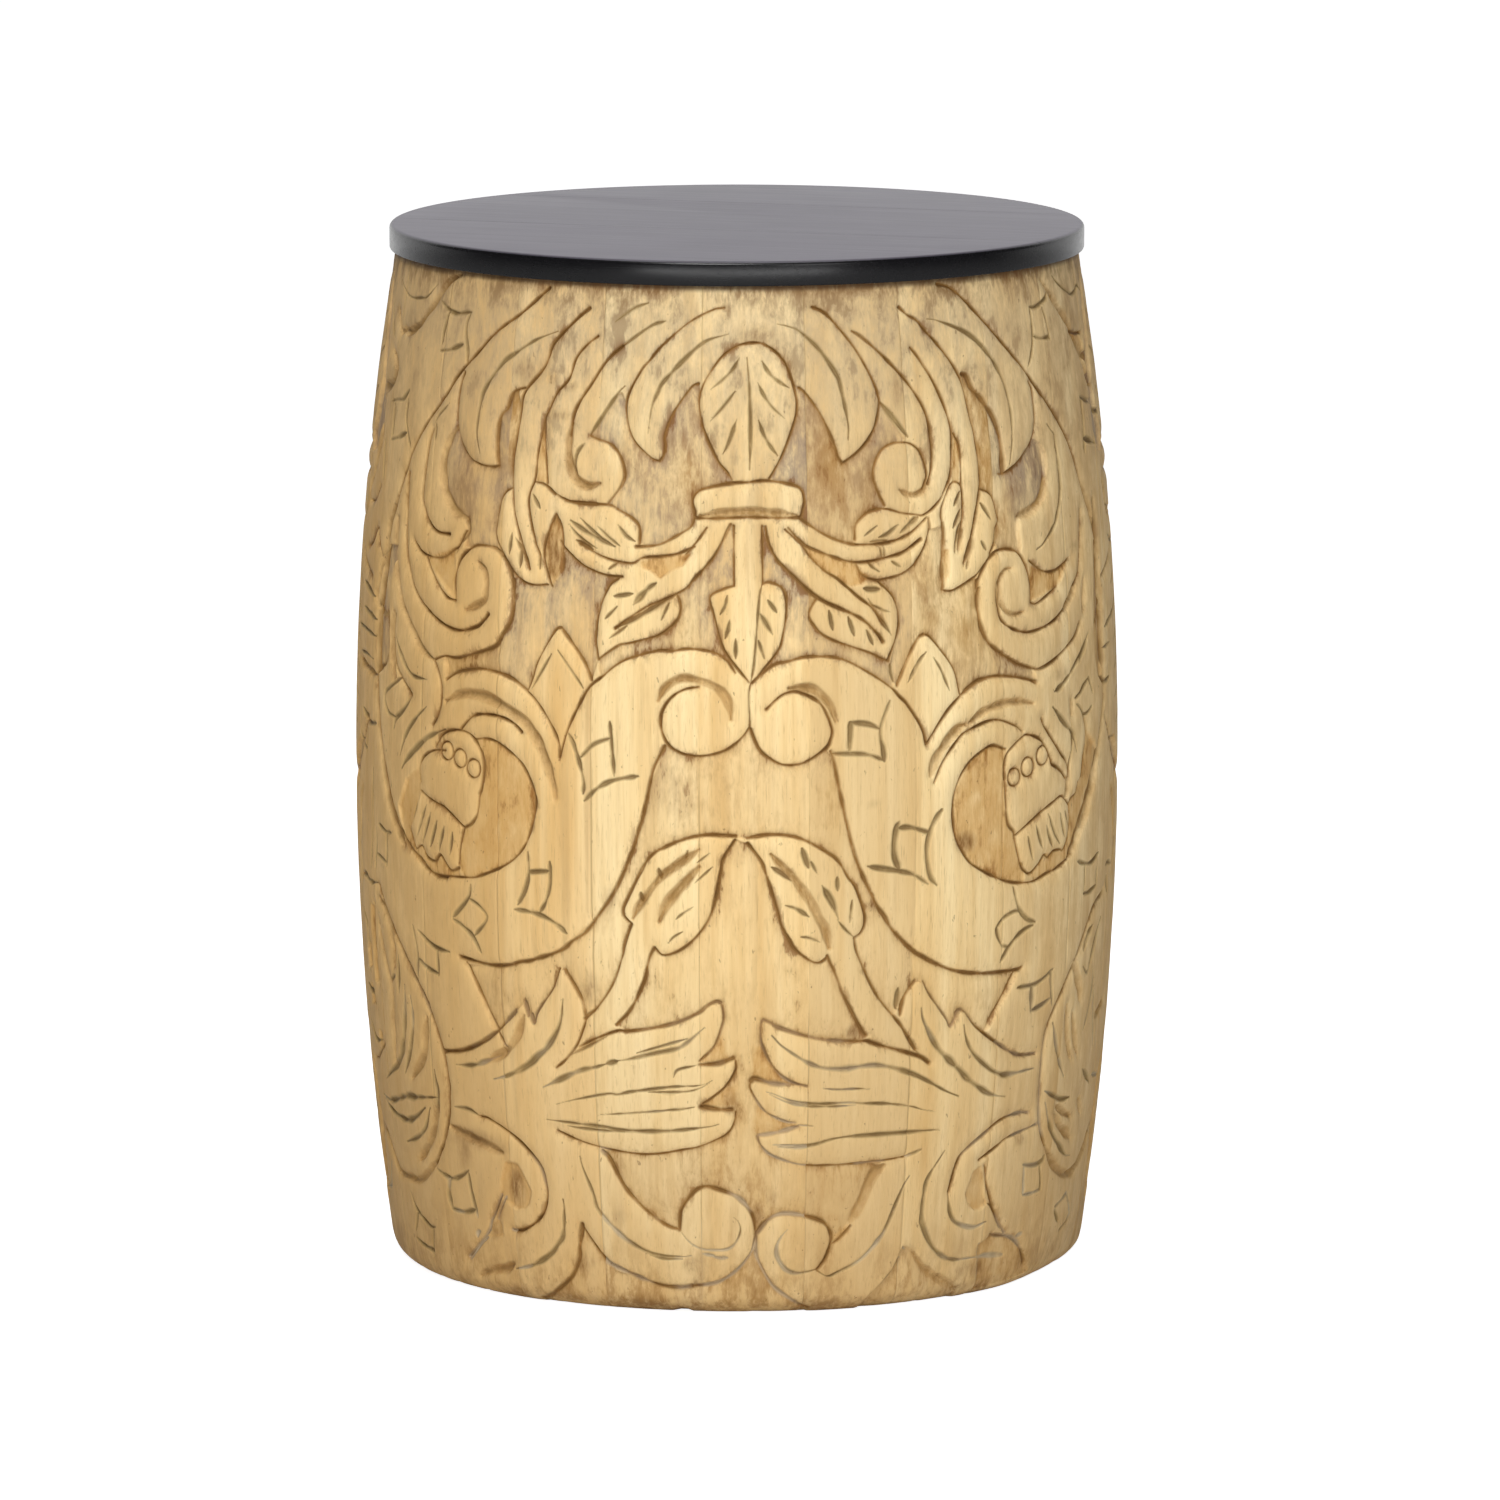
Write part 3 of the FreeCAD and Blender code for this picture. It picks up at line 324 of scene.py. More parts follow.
POD_RIGHT = """
o2.6 95.6,277.2 109.2,293.7 124.6,304.2 133,306 143.8,305.8 160,302.7 167,300.4
g3.6 120.8,285.8 130,290.4 140.8,292.7 153,292.7 164.6,290.4
g5 97.7,262 101.5,271.3 113.4,283.4 118,285
o2.4 99.8,258.2 105,268 114.2,278.4 119.2,281.5 136,285.4 150,281.5 156.2,277.7
o2.2 143.5,255.8 143,260 143.8,265.4 146.2,269.2 156.2,275 160.8,275.6 170.8,271.5 177,263.8 179.2,259.2 183.8,257 188.5,253.8 191.5,250.8
o2.2 143.8,270.4 136,273 130.8,272 120.8,266.5 113.8,257.7 110.8,246 112.3,231.5 119.2,220 124.6,215.4 138.5,208.5 150.8,204.6 165.4,203.5 175.4,205.8 183.8,207 191.5,209.2 197,211.5
g4.4 195,211.3 200.9,215.8 206.8,222.4 213.3,228.9 217.9,236.8 222.5,243.3 226.4,252.5 230.3,260.3 234.2,269.5 237.5,274
o2.2 143.5,255.8 145,238.5 146.5,233 150,229.6 150.8,226 154.6,214.6 157.7,210 162.3,207.7 169.2,211.5
o1.8 154.3,256.2 153,259.4 150,260.5 147,259.4 145.7,256.2 147,253 150,251.9 153,253 154.3,256.2
o1.8 164.7,260 163.3,263.3 160,264.7 156.7,263.3 155.3,260 156.7,256.7 160,255.3 163.3,256.7 164.7,260
o1.8 176.2,264.2 174.8,267.5 171.5,268.9 168.2,267.5 166.8,264.2 168.2,260.9 171.5,259.5 174.8,260.9 176.2,264.2
o2 150.8,227.6 169.2,236.2 181.5,240.4 188.5,242.2 195.4,237
g3.6 193.8,250 192,241.5
v2 159.2,226.2 163,214.6
v2 165.4,231.5 167.7,225.4 170.8,219.2
v2.2 175.4,235.4 180.8,225.4 186.2,219.2
v2 173.6,230 176,224.6 179.6,218.5
v2 185.4,234.6 190,222.3
v2 190,234.6 194.6,227
o2.2 169.2,211.5 173.8,215.4 177,213.6 181,216 187.7,216.2 190,215.4 193,218.5 195.4,223.8 196,230.8 195.4,237 197.7,240 202.3,241.5 205,247
o2.2 170.8,282.3 173,278.5 187.7,263 191.5,260 193.8,256.2 194.6,250.8
v3 179.2,287 188.5,278.8 197.7,271.5 201.5,262.3
n2 196,273.8 197,267.7 195.4,260 195,253
g3 198,288 198,281
o3 212.3,276.2 213.8,272.3 213.8,266 210.8,258.5 208.7,250
v3 180.8,294.2 187,296 195.4,300.8
o2 80,306.4 86.3,319 92.2,328.4 95.2,330
o2 95.2,330 99,328.4 111.7,312.8 115.5,300
v2 85.5,308 92.2,318.3 95.6,321.7
v1.6 99.4,319 103.2,313.6 108.3,302.6
"""
VOLUTES_MAIN = """
o2 -.6,315 -5.3,321.5 -12.4,325 -24,326.2 -31.2,325 -38.2,325 -52.4,321 -59.4,317.4 -66.5,311.5 -72.4,306.8 -77,299.7 -84,285.6 -88.5,271.5
o2.2 -18.2,308.2 -25.3,306.8 -31.5,303 -35.7,297 -36.8,291 -35.4,284.4 -31.8,279 -25.3,275.8 -18.2,275 -11,276 -5.3,278 0,281.5 4,285.6 6.5,289.7
g4 -2.7,292.6 -3.2,298.5 -5.9,304.4 -11.2,309 -23,312.3 -28.8,311.5 -34.7,307.4 -38.2,301
n1.4 6.8,310 5.9,304.4 6.5,289.7
o3 -34.7,279.7 -40,269 -41.8,262 -45.3,246 -47.6,239 -50,230.6 -59.4,209.5 -70,194.2 -76,187 -83,182.4 -88.8,177.7 -106.5,171.2 -112.4,170 -119.4,167.7 -131.2,166.5 -151.8,168.3
o2.2 7.6,310.2 15.2,317 20.3,319.4 24.5,320 34.7,322.2 50.8,320.8 66,313.2 77,305.6 81.2,301.3 85.5,297 93,285.7 95.6,277.2
o2.4 6.8,288.2 9.3,281.5 12.7,276.4 22,270.9 32.2,271.3 43.2,278 45.7,282.3 46.4,287.4 42.3,297.5 38,301.8 29.6,305.6 24.5,305.2 20.3,303 14.4,297.5
g4 25.4,307.3 31.3,307.7 37.2,306.8 42.3,302.6 46,297.5 48.2,290.8
o2.8 45.7,276.8 47.4,271.3 54.2,240 59.5,222 69.2,201.6 73.6,195.4 78.1,188.4 89.6,177.3 94.9,174.2 101.1,170.7 114.3,165.4 130.3,162.5 155,161.4 158.6,162.3
"""
SQUARES_LEFT = """
n2.2 -83.5,283 -80,277.4 -75.3,262 -75.3,255
n2.4 -74.7,251.5 -68.8,257.4 -60.6,262 -47.6,264.8
n2.2 -61.8,290.3 -59.4,264.4
n2.4 -76.5,272.6 -70,279 -61.2,282.6
n2.4 -106,224.2 -105.5,214.2 -107.6,206 -112,198.3
n2.2 -104.7,214.8 -94.7,216
n2.2 -93.5,220.6 -93.5,209.5 -96,201.2 -99.4,195.7
n2.4 -114,195.6 -106.5,195.4 -97,193.6 -88.8,189.5 -85,186.5
n2.4 -142,204.8 -143.5,198.3 -154.7,187.5
n2.2 -143.2,198 -136,194.8 -131.4,189.5 -140,180
n2.4 -154.7,186.3 -148.8,184.2 -141.8,180 -136,172.4
n2.4 -184,177 -170,170.8 -158.5,169.8
n2.2 -168,170 -167.8,157.2
n2.4 -184,162.8 -176.4,159.4 -168,157.8
n2.4 -188.7,179 -185.3,165.6 -187,152.8
n2.4 -224,223.3 -216.4,221.3 -209.2,221.3
n2.2 -213.7,220 -215.3,204.4
n2.4 -227.6,208.3 -215.3,205.8
n2.2 -228.7,221 -228.7,211 -231.4,201
n2.4 -183,59 -176.4,57 -168.7,56 -161.8,58 -154.7,62
n2.2 -155.3,61.5 -154,51.5 -151,39.2
n2.2 -171.4,40.5 -160.6,40.4 -153,42.5
n3 -171.4,55.8 -173,48 -171.4,41.3
n2.4 -216,42 -211,34.7 -196.4,28 -191,28.3
n2.2 -209.2,33.6 -212.6,27 -215.3,23
n2.4 -216,19 -207.6,17 -195.3,15.8
n2.2 -192.6,28 -194.8,21.3 -196,12.4
n2.4 -233,429 -225.3,430.6 -216.4,432 -209.8,437
n2.2 -227,428 -226.4,413.6
n2.4 -227.6,411 -218.7,413 -208.7,416.3
n2.2 -209.8,432.4 -209.8,422.4 -203,410
n2.4 -186.4,482 -179.8,479 -172,477.4 -158.5,479
n2.4 -177.6,478 -180.3,469 -181,462
n2.4 -182,458.6 -174,459.7 -162.6,463.3
n2.4 -158.5,479.2 -161.2,474.5 -161.2,468.6 -158.8,461.5 -158.8,454.5
"""
SIDE_LEFT = """
v1.6 -243,487 -228.7,481.3 -220,480.4 -210,481.3 -203,482.4 -192,489.7
g4 -172,495.8 -181,492.4 -187.6,487 -194,480 -201,474.7 -207.6,469 -221,463.6 -226.4,464.7 -232,462.7 -236.4,465.8 -241,472
g5 -242,452.4 -236.4,449 -232,444.7 -236.4,438 -245.3,434.7 -254,434 -260,437.4
g5.5 -247.6,431 -247.6,420 -245.3,411 -249.8,401 -255.3,392.4 -261,387
v3 -236.4,413.6 -236.4,404.7 -234,391
o2 -260,377.4 -250,379 -241,387
o2 -255.3,355.6 -247.6,359.4 -239.8,366.7 -235.3,360 -230,354
v2.4 -254,474.7 -247.6,464.7 -241,459
v3 -258.7,338.3 -236.4,333.3
v3 -256.4,326 -232,322.6
v2.4 -270,316 -250,315.6 -232,314.4
v1.6 -263,303.6 -247.6,304 -234,303
g4 -264,299 -231,295.6
n3 -251,276.7 -240,271.7 -228.7,272.2
n2.4 -243,269.4 -243,257.2
n2.4 -256.4,277 -257,262.8 -243,257.8
n1.8 -232,250 -234,232 -234.8,216.7 -238.7,200
o3 -228.1,192.3 -223.5,186.2 -185,147.7 -176.9,136.5 -168.8,119.6 -166.6,107.5 -166,101 -168.3,86.5 -175,72.6 -178.6,68.2 -181.8,63.8 -185,60.6
g4.6 -182,64.6 -187,59.6 -192.7,55.4 -203.5,50 -215.8,49.5 -228.1,49.2 -234.2,53.1 -241.9,60.8 -249.6,66.9 -258.8,70
g4 -228.1,186.2 -220.4,180 -214.2,170.8 -211.2,163.8 -211.9,155.4
g4 -231.9,173.8 -220.4,149.2 -217.3,143.1 -218.1,132.3 -218.8,120 -220.4,107.7
v3 -205.8,161.5 -207.3,143
v3 -211.2,150.8 -217.3,146.9
v4 -200.4,147.7 -201.2,138.5 -203.5,126.2 -208.1,113.8 -215.8,106.2 -235.8,95.4
v3 -195,143.1 -193.5,133.8 -195.8,123.1 -200.4,112.3 -206.5,103.1
g5 -181.2,133.8 -183.5,123.1 -186.5,113.8 -200.4,101.5
v3.4 -175.8,95.4 -197.3,92.3 -206.5,91.5 -231.2,85.4 -245,86.2
v3 -188.1,88.5 -197.3,83.1 -208.1,79.2 -220.4,79.2 -231.2,80.8 -241.9,84.6
v3 -183.5,89.2 -189.6,78.5 -198.8,72.3 -212.7,67.7
g4.6 -178.8,89.2 -181.9,78.5 -189.6,69.2 -200.4,60.8
v3 -176.5,109.1 -176.1,104.2 -174.9,97.8 -177.7,84.8 -181,79
g4.4 -238,182 -240.4,170 -239.6,156 -237,143
v3 -262,193 -252,194.6 -241,192.6 -230,193.6
v3.4 -262,176 -253,168 -250.4,155.4 -251.4,146
v3 -262,139 -251,135.6 -243,131
v3 -262,121 -250,113 -240.4,113.8
o2.4 -262,101.6 -252,104 -236,113
v3 -262,37 -252,40 -247,48 -243,53
"""
SIDE_RIGHT = """
g4.6 200.3,491.1 214.8,477.4 227,467.5 231.6,461.4 245.3,446.2 248.3,440 252.9,435.6 262,433.6
v2.2 212.5,491.9 219.4,487.3 237.6,480.5 246.8,480.9 254.4,483 264,478
o2.6 228.5,463.7 237.6,461.4 250.6,460.4
g5 237,457 243,453 250,449.6 256,448
v3 258.2,421.8 265,420.4 271.2,420.6
v3 263.5,360.2 274.2,356.4 296,353.4
v2.4 272,373.9 280.3,371.6 296,369.4
v3 244.5,317.5 271.2,322.9
v2.4 241.5,307.6 254.4,308.7
v3 235.5,294.3 243.4,291 251.2,292.3
v2.4 248.6,262.3 264.3,260.6
v3 245.3,200.1 252.5,200.4 259.7,198.8
v3 247.3,194.3 251.2,185.8
o3 244,188 242.1,186.4 232.9,183.8 225.1,179.2 208.1,159.6 205.8,157.6 186.2,135.3 181.6,127.5 179.6,117.7 179.6,96.8 180.9,86.3 184.2,77.2 190.1,68.7
g5 190.1,68.7 197.9,60.2 207.1,54.3 216.2,51 225.4,50 233.2,52.3 239.8,56.2 246.3,61.5 251.5,66.7 260,70
g6 206.8,157 209.4,151 213.3,145.2 216,138
v3 227,173.3 221.2,168.8 215.9,162.2
v3.4 239.5,175.3 232.9,167.5 226.4,157 222.5,150.5 215.9,154.4
v3 186.8,130.8 190.7,120.3 195.3,111.2 201.8,102
g4 201.2,137.3 201.6,126.8 204.5,117.7 209,109.8
g4 208.4,132.1 210.3,124.2 213.6,116.4 217.5,111.2
v3 183.5,97.4 200.5,90.9 211,90.2
g4 197.9,87.6 205.8,83.7 216.2,79.8
g5 196.6,84.3 203.2,77.2 218.8,68.7
v3 184.8,91.5 190.1,81.1 196.6,73.2 212.3,61.5 220.2,59.5
g4 225.4,86.3 230.6,79.8
v3 225.4,102 234.5,96.8 239.8,92.8
v2.6 243.7,96.1 260,93.5
v3 234.5,139.3 237.2,125.5 241.1,111.2
g4 243.7,125.5 260,130.8
v3 222,122 228,131 232,142 231,152
"""
LEAF_LOWER_LEFT = """
o2.5 -.4,236.6 -14.5,237 -25.1,234.8 -36.6,229.8 -41.1,226.9 -44.6,222.4 -53.5,205.2 -55.7,199.9 -55.2,196.3 -51.7,193.2
o2.5 -.8,234.8 -6.5,225.5 -7.6,219.3 -11.9,199.9 -18.1,189.2 -26.9,181.3 -35.8,178.2 -40.2,181.7
o2.5 -51.7,192.8 -55.2,183.1 -56.5,176.9 -61.9,162.7 -70.3,150.8 -74.7,147.2 -76.4,145.2
o2.5 -40.2,181.7 -42.4,177.8 -44.2,171.6 -45.5,165.4 -52.6,151.2 -60.1,143.2
g3.6 -18.1,230 -34,218.5 -39.3,213.1 -48.1,200.8 -50.8,195.5
v2 -23.4,229.5 -24.7,225.5
v2.4 -37.5,220.2 -36.6,215.8
v2.4 -46.4,208.3 -45.9,204.3
g4.6 -18.1,221.6 -33.1,204.3 -37.5,194.6
v1.4 -12.8,228.6 -18.9,223.8
v1.4 -11.4,222 -20,214
v1.4 -20.7,202.5 -26,199 -29.1,196.3
v1.4 -26,190.2 -30.4,187.5 -33.1,184.4
"""
LEAF_LOWER_RIGHT = """
o2.6 5,235.7 17.3,237.2 30.6,235.1 45.6,226.9 50.1,222.9 55,214.9 58.6,210 63.2,197.2 63.2,191.9 61.2,187.9 58.1,185.7
o2.4 5.4,233.1 12,224.2 13.8,219.3 20,199.9 21.8,192.8 25.3,186.6 28.4,181.3 36.8,175.1 41.2,174.6 44.8,176.9
o2.5 44.4,177.7 49.7,166.2 52.4,159.2 62.1,141.5 64.8,137.9
o2.8 58.1,185.7 59.9,177.7 70.1,157.4 84.2,140.6 92,129
g4.6 16.5,227.8 21.8,222 27.1,216.7 35.9,204.3 39.5,197.2 43,191 45.3,181.3
v2.5 16.9,221.6 21.8,218.5 26.2,214.9
v3 31.5,230.4 34.6,221.1
v2 35.9,223.8 38.6,218.5
v2.5 23.5,203 28.9,201.2 35,197.2
v2 31.1,187.5 35,187 40.3,184.8
v2.5 48.8,215.8 49,209.6
v2 56.4,204.3 55.2,193.7
v3 41.2,212.3 46.5,203.4 49.6,195.4
v1.5 48.8,195.4 53.3,190.1 57.7,186.2
"""
FANS_LEFT = """
o1.4 -147.2,166 -123,127
o2.5 -80,131 -72.9,134.9 -59.6,140.2 -53.5,140.2 -32.2,144.6 -18.9,150.3 -14.5,153.9 -10.1,156.1 -7.9,155.7
o2.2 -7.9,155.7 -6.5,151.2 -6.7,145.9 -11.2,134 -18.4,126.8
v2.6 -60,125.6 -53.6,126.8 -40.8,130.2 -29.6,132.8 -24.8,135.6 -15.6,143.6
v1.5 -49.6,130 -24,138
o3 -18.4,125 -8.8,125.8 -1.6,128.4
v1.6 -20,124.8 -29.2,122.4 -31.2,118.8
o1.6 -.4,126.8 -.4,122.8 -5.2,114.8 -12.8,108.4 -16.8,106
o3.4 -17.6,104.4 -8.8,103 -2.4,103
v1.6 -12,117.6 -15.2,116 -20,114.8 -32,114 -52.8,110.8 -60,109 -65,109.1 -83.2,104.9 -93.7,101.8
v1.4 -13.2,116.4 -18.4,113.6 -25.6,111.8 -44,111
v1.4 -30,102.8 -70.5,98.3
v1.6 -21,104.2 -28.2,103 -36.3,102.4
v2.2 -8.9,96 -13.8,94.7 -36.3,92 -60.6,91.5 -67.8,92.5 -99.8,93.7
v1.4 -57,90.4 -81.6,91.1 -88,91.7
o1.6 -.4,102 -.8,98 -3,92.9 -6.6,89.8 -19.2,84.4 -26.4,83 -40.8,80.3 -55.2,80.1 -78.4,83.6 -94.5,88.5
v2.8 -65,124 -71.9,121.6 -80,119.4 -101,109.5
v2.4 -60,125.4 -65,124
o2.2 -76,145.4 -77.2,141.4 -81.6,131.7 -88.1,124 -93.7,119.6
v2.2 -65,137.3 -84.8,126.8
v3.2 -87.7,154.3 -90.1,141.4 -97.8,129.3 -103.4,124.8 -108.3,120.4 -120.4,113.9 -131.3,110.3
o2.5 -107.1,144.6 -105.4,140.6 -103.4,146.2 -95.3,156.7 -92.5,161.6 -90.1,168.4
o2.5 -86.9,168.4 -80.8,159.2 -78,153.5 -76,145.4
o2.4 -110.7,150.7 -109.5,147.8 -108.7,143.8
g4 -111.1,143.8 -115.5,133.3 -123.6,124.8 -134.9,119.2
v2.4 -128.5,122 -141.4,116.7 -149.5,114.9 -157.9,114.3
o3 -116.3,145.4 -129.3,133.7 -141.4,126.4 -154.3,121.6 -168,119.4
"""
FANS_RIGHT = """
o1.4 153.5,161 145.2,149 136.5,138
o3 13.2,147.2 16.8,145.6 20.8,143.2 36,138.2 47.2,136 60.4,134.9 65.6,134.9 69.9,133.2 94.2,125.4 100.3,121.5
o2 13.2,147.2 12,145.2 12.4,135.6 18.8,122.8 26.4,116.8 35.2,114
v2.6 17.2,139.6 23.2,133.6 38.4,124.4 52,122 70.8,122.8 90.7,117 110.6,106.7 118.4,103.4
o3.4 7.2,117.2 8.8,118.4 16.8,116 26.4,115
o1.8 6.8,116.4 6.8,113.2 12,104.4 16,100.8 24.8,96.8 29.6,96.2
v1.7 14.4,112 18.4,110.8 28.8,106.8 40.8,105.3 56.9,105.2 63.9,104.4 77.7,103.3 90.7,100.9 96.8,98.9 103.7,97.4
v1.4 16,110.8 26.4,106.2 39.2,104 60,103.7
v1.3 43.2,112.8 50.4,112 62.1,111.8 67.3,111.2
o3 11,90.2 20.4,91.5 30.8,94.2
o1.8 10.5,89.7 11.4,86.6 14.1,83 18.6,79.8 31.2,75.6 46.5,74.4 76,75.1 88.1,76
v1.7 88.1,76 97.7,79
v1.6 18.2,85.7 36.6,85 48.3,87.5 54.6,88.4
v2.2 48.3,87.5 58.7,88.4 102,88.1 108.1,87.5
v1.3 20,84.8 25.8,84.1 33,84.1 40.2,85
v1.2 31.2,95.1 38.4,94.5
v2 83.8,140.5 90.7,130.1 95,125.8
o2.4 90.9,162.7 86.4,157.2 84.2,152.7 83,146.6
v3 81.6,159.6 80.8,150
o2.5 95.5,161.8 99.4,155.3 109.8,142.3 112,138.4 114.6,141.4 117.2,145.7 120.6,144.9 128.9,136.2 146.2,124.9 159.2,118.9 173.1,117.6
v3.6 94.2,149.2 95.5,143.1 102,131.9 106.3,126.7 118.5,116.3 123.7,111.5 136.7,103.3 143.6,100.7 150.1,99.4
v2.8 119.8,138.4 121.1,132.7 123.7,127.5 128,122.3 138.4,114.5 144.5,111.5 150.5,110.2 171.3,110.6
"""
SCROLL_LOWER_LEFT = """
o3 -30,43 -28.6,52.9 -21.9,61.9 -17.4,64.4 -12.9,64.4 .6,59.4 7.4,52 9.2,47 9.8,41.6
o2.6 9.8,41.6 9.2,36.2 6.9,30.8 -.3,22.7 -10.2,16.9 -23.7,14.8
o3.4 -23.7,14.8 -30,13.9 -42.6,15.2 -66.9,23.6 -71,26.6 -75,30.8 -82.2,40.6 -83,42.6
v1.6 -1.6,49.7 .6,47.9 2,44.3 1,39.8 -2.1,35.3 -6.6,33.5 -16.5,33.5 -21.9,35.3 -25.5,38 -28.6,41.6
o2.4 -69.6,80.3 -66,76.7 -59.7,65 -55.2,59.2 -46.2,51.1 -36.3,44.7 -30.4,43
v2.4 -81.8,77 -80.6,71.8 -75.4,59 -73.2,51.5 -65.1,42.5 -55.2,35.3 -42.6,30.3 -28.2,29.6 -23.7,30.3
v1.2 -48,30.6 -39,28.4 -28.2,28.4
v2 -5,29.6 -8.4,29.4 -12,30
v2 -12,30.6 -17.6,31.4
o3 -83,42.6 -85.8,31 -86.2,25.4 -89,19.4 -93,14.2 -104.2,6.2 -109.8,3.4 -114.6,2.2
v2.6 -93,54.6 -92.6,50.2 -94.2,36.6 -98.2,31 -102.6,26.2 -114.6,19.4 -126.6,16.2
g4.6 -128.4,18.6 -133.8,15.4 -140.2,14.4 -151.4,11 -154.6,9
v2.4 -161.6,92.9 -150.3,92.9 -143.4,90.2
o2.4 -143.4,90.2 -137,89.6 -119.4,81.8 -106.2,70.2 -103,59.8 -103,54.2 -105,47.8 -109,43 -113.8,39.4 -119.4,36.6 -123.4,35.6 -127,35.8
g5 -167,82.4 -145,77.8 -130,74
o2 -129.8,51.8 -135.4,43 -136.6,39.8
o2.2 -132.6,52.6 -137.8,43.8 -141.8,38.2 -145,32.4 -162.2,17.8
n1.4 -145,29.8 -151.4,25.4 -161,16.6
n2.6 -151,32 -152.6,31 -153,29.4
"""
SCROLL_LOWER_RIGHT = """
o3 10,41.1 15.9,47.9 24,51.1 34.8,49.7 44.7,46.5 48.3,42.9 49.9,38.9 49.2,33.5 46.5,27.2 42.9,22.7
o3 10,41.1 10.5,29.9 16.8,18.2 21.3,13.2 33,5.6 39.3,2.9
v2.2 26.3,43.4 23.1,39.8 20.9,35.3 20.9,30.8 23.1,26.3 26.7,22.7 32.1,21.3 42.9,22.7
v2.2 42.9,21.8 48.3,19.1 53.7,20.9 66.1,26.5 75.6,35.6 79.5,41.3 87.7,60.3 91.6,66.4
o2 50.1,34.8 54.6,38 60,43.4
g5 77,72.6 73,69.9 70,65.5 65.6,55.1 60,45.6
v1.6 89.5,25.7 84.3,18.7 78.6,13.1
v1.6 90.3,30.9 92.4,29.6
v2.6 112,77.2 103.3,65.5 101.2,59.5 100.3,46.5 101.6,40.4 109.4,28.3 120.7,21.8 139.7,20.6
g3.8 97.3,27.4 105.9,17.9 129.3,4.9
v2.5 116.3,56 116.8,49.9 118.9,43.9 123.3,39.5 134.5,36.2 143.6,37.8
o2.6 171.3,88.5 164.4,89.4 150.5,88.1 137.5,82 125.4,75.1 121.1,70.3 116.8,56
o2 180,81.6 155.7,78.1 148.8,75.1 135.8,69.5
o2.2 140.2,66.4 144.1,53.4 151.9,39.5 161.4,29.1
n1.6 144.1,46.9 147.5,44.7 156,33
o3 149.3,30.4 167.5,26.5 177.9,18.7 183,11.8
n2.4 140.2,27 140.2,20.5 146.7,20.3 161.4,18.7
n3 171.4,27 174.4,27.4
"""
SIDE_PAIRS = """
o2.4 293.7,492 283,478 274,462 269,445 271,428 279,414 288,406 293.7,404
o2.4 293.7,372 284,360 272,352 258,346 245,342
o2.4 243,274 254,260 268,250 293.7,238
o2.4 284,242 269,207 262,193
o2.4 293.7,120 281,101 275,80 278,58 286,42 293.7,34
v2.6 277,472 289,458
v2.6 272,452 289,438
v2.6 274,432 288,422
v2.6 264,336 289,344
v2.6 266,322 289,330
v2.6 268,308 289,316
v2.6 266,294 289,301
v2.6 266,280 288,286
v2.6 270,267 287,271
v2.6 279,94 290,84
v2.6 278,76 289,66
v2.6 281,58 290,50
g4 262,388 266,378 274,370 284,366
g4 256,238 262,226 264,212
"""
SIDE_MIDDLE = """
v3 293.7,486 293.7,412
v3 293.7,364 293.7,244
v3 293.7,112 293.7,42
o2 274,402 293.7,403 313.5,402 317.5,397 313.5,391 293.7,390 274,391 270,397 274,402
n2.4 293.7,224 303,209 293.7,194 284.4,209 293.7,224
n2.4 286,176 301,178 302,160 286.6,158 286,176
n2.4 293.7,146 300,137 293.7,128 287.4,137 293.7,146
o5 -217,380 -221.5,362.8 -224,345.5 -229,327.8 -228.8,313 -228.5,296 -226,279.2 -221.2,262.8 -216,248.8 -211.5,237 -203.5,226 -195.5,217.2
o5 237,380 238.5,360.8 239,342.5 239.8,326.2 239.5,311.5 240.8,286.8 234.5,269.5 222,246.8 210.8,232.2 197.2,213.5
"""

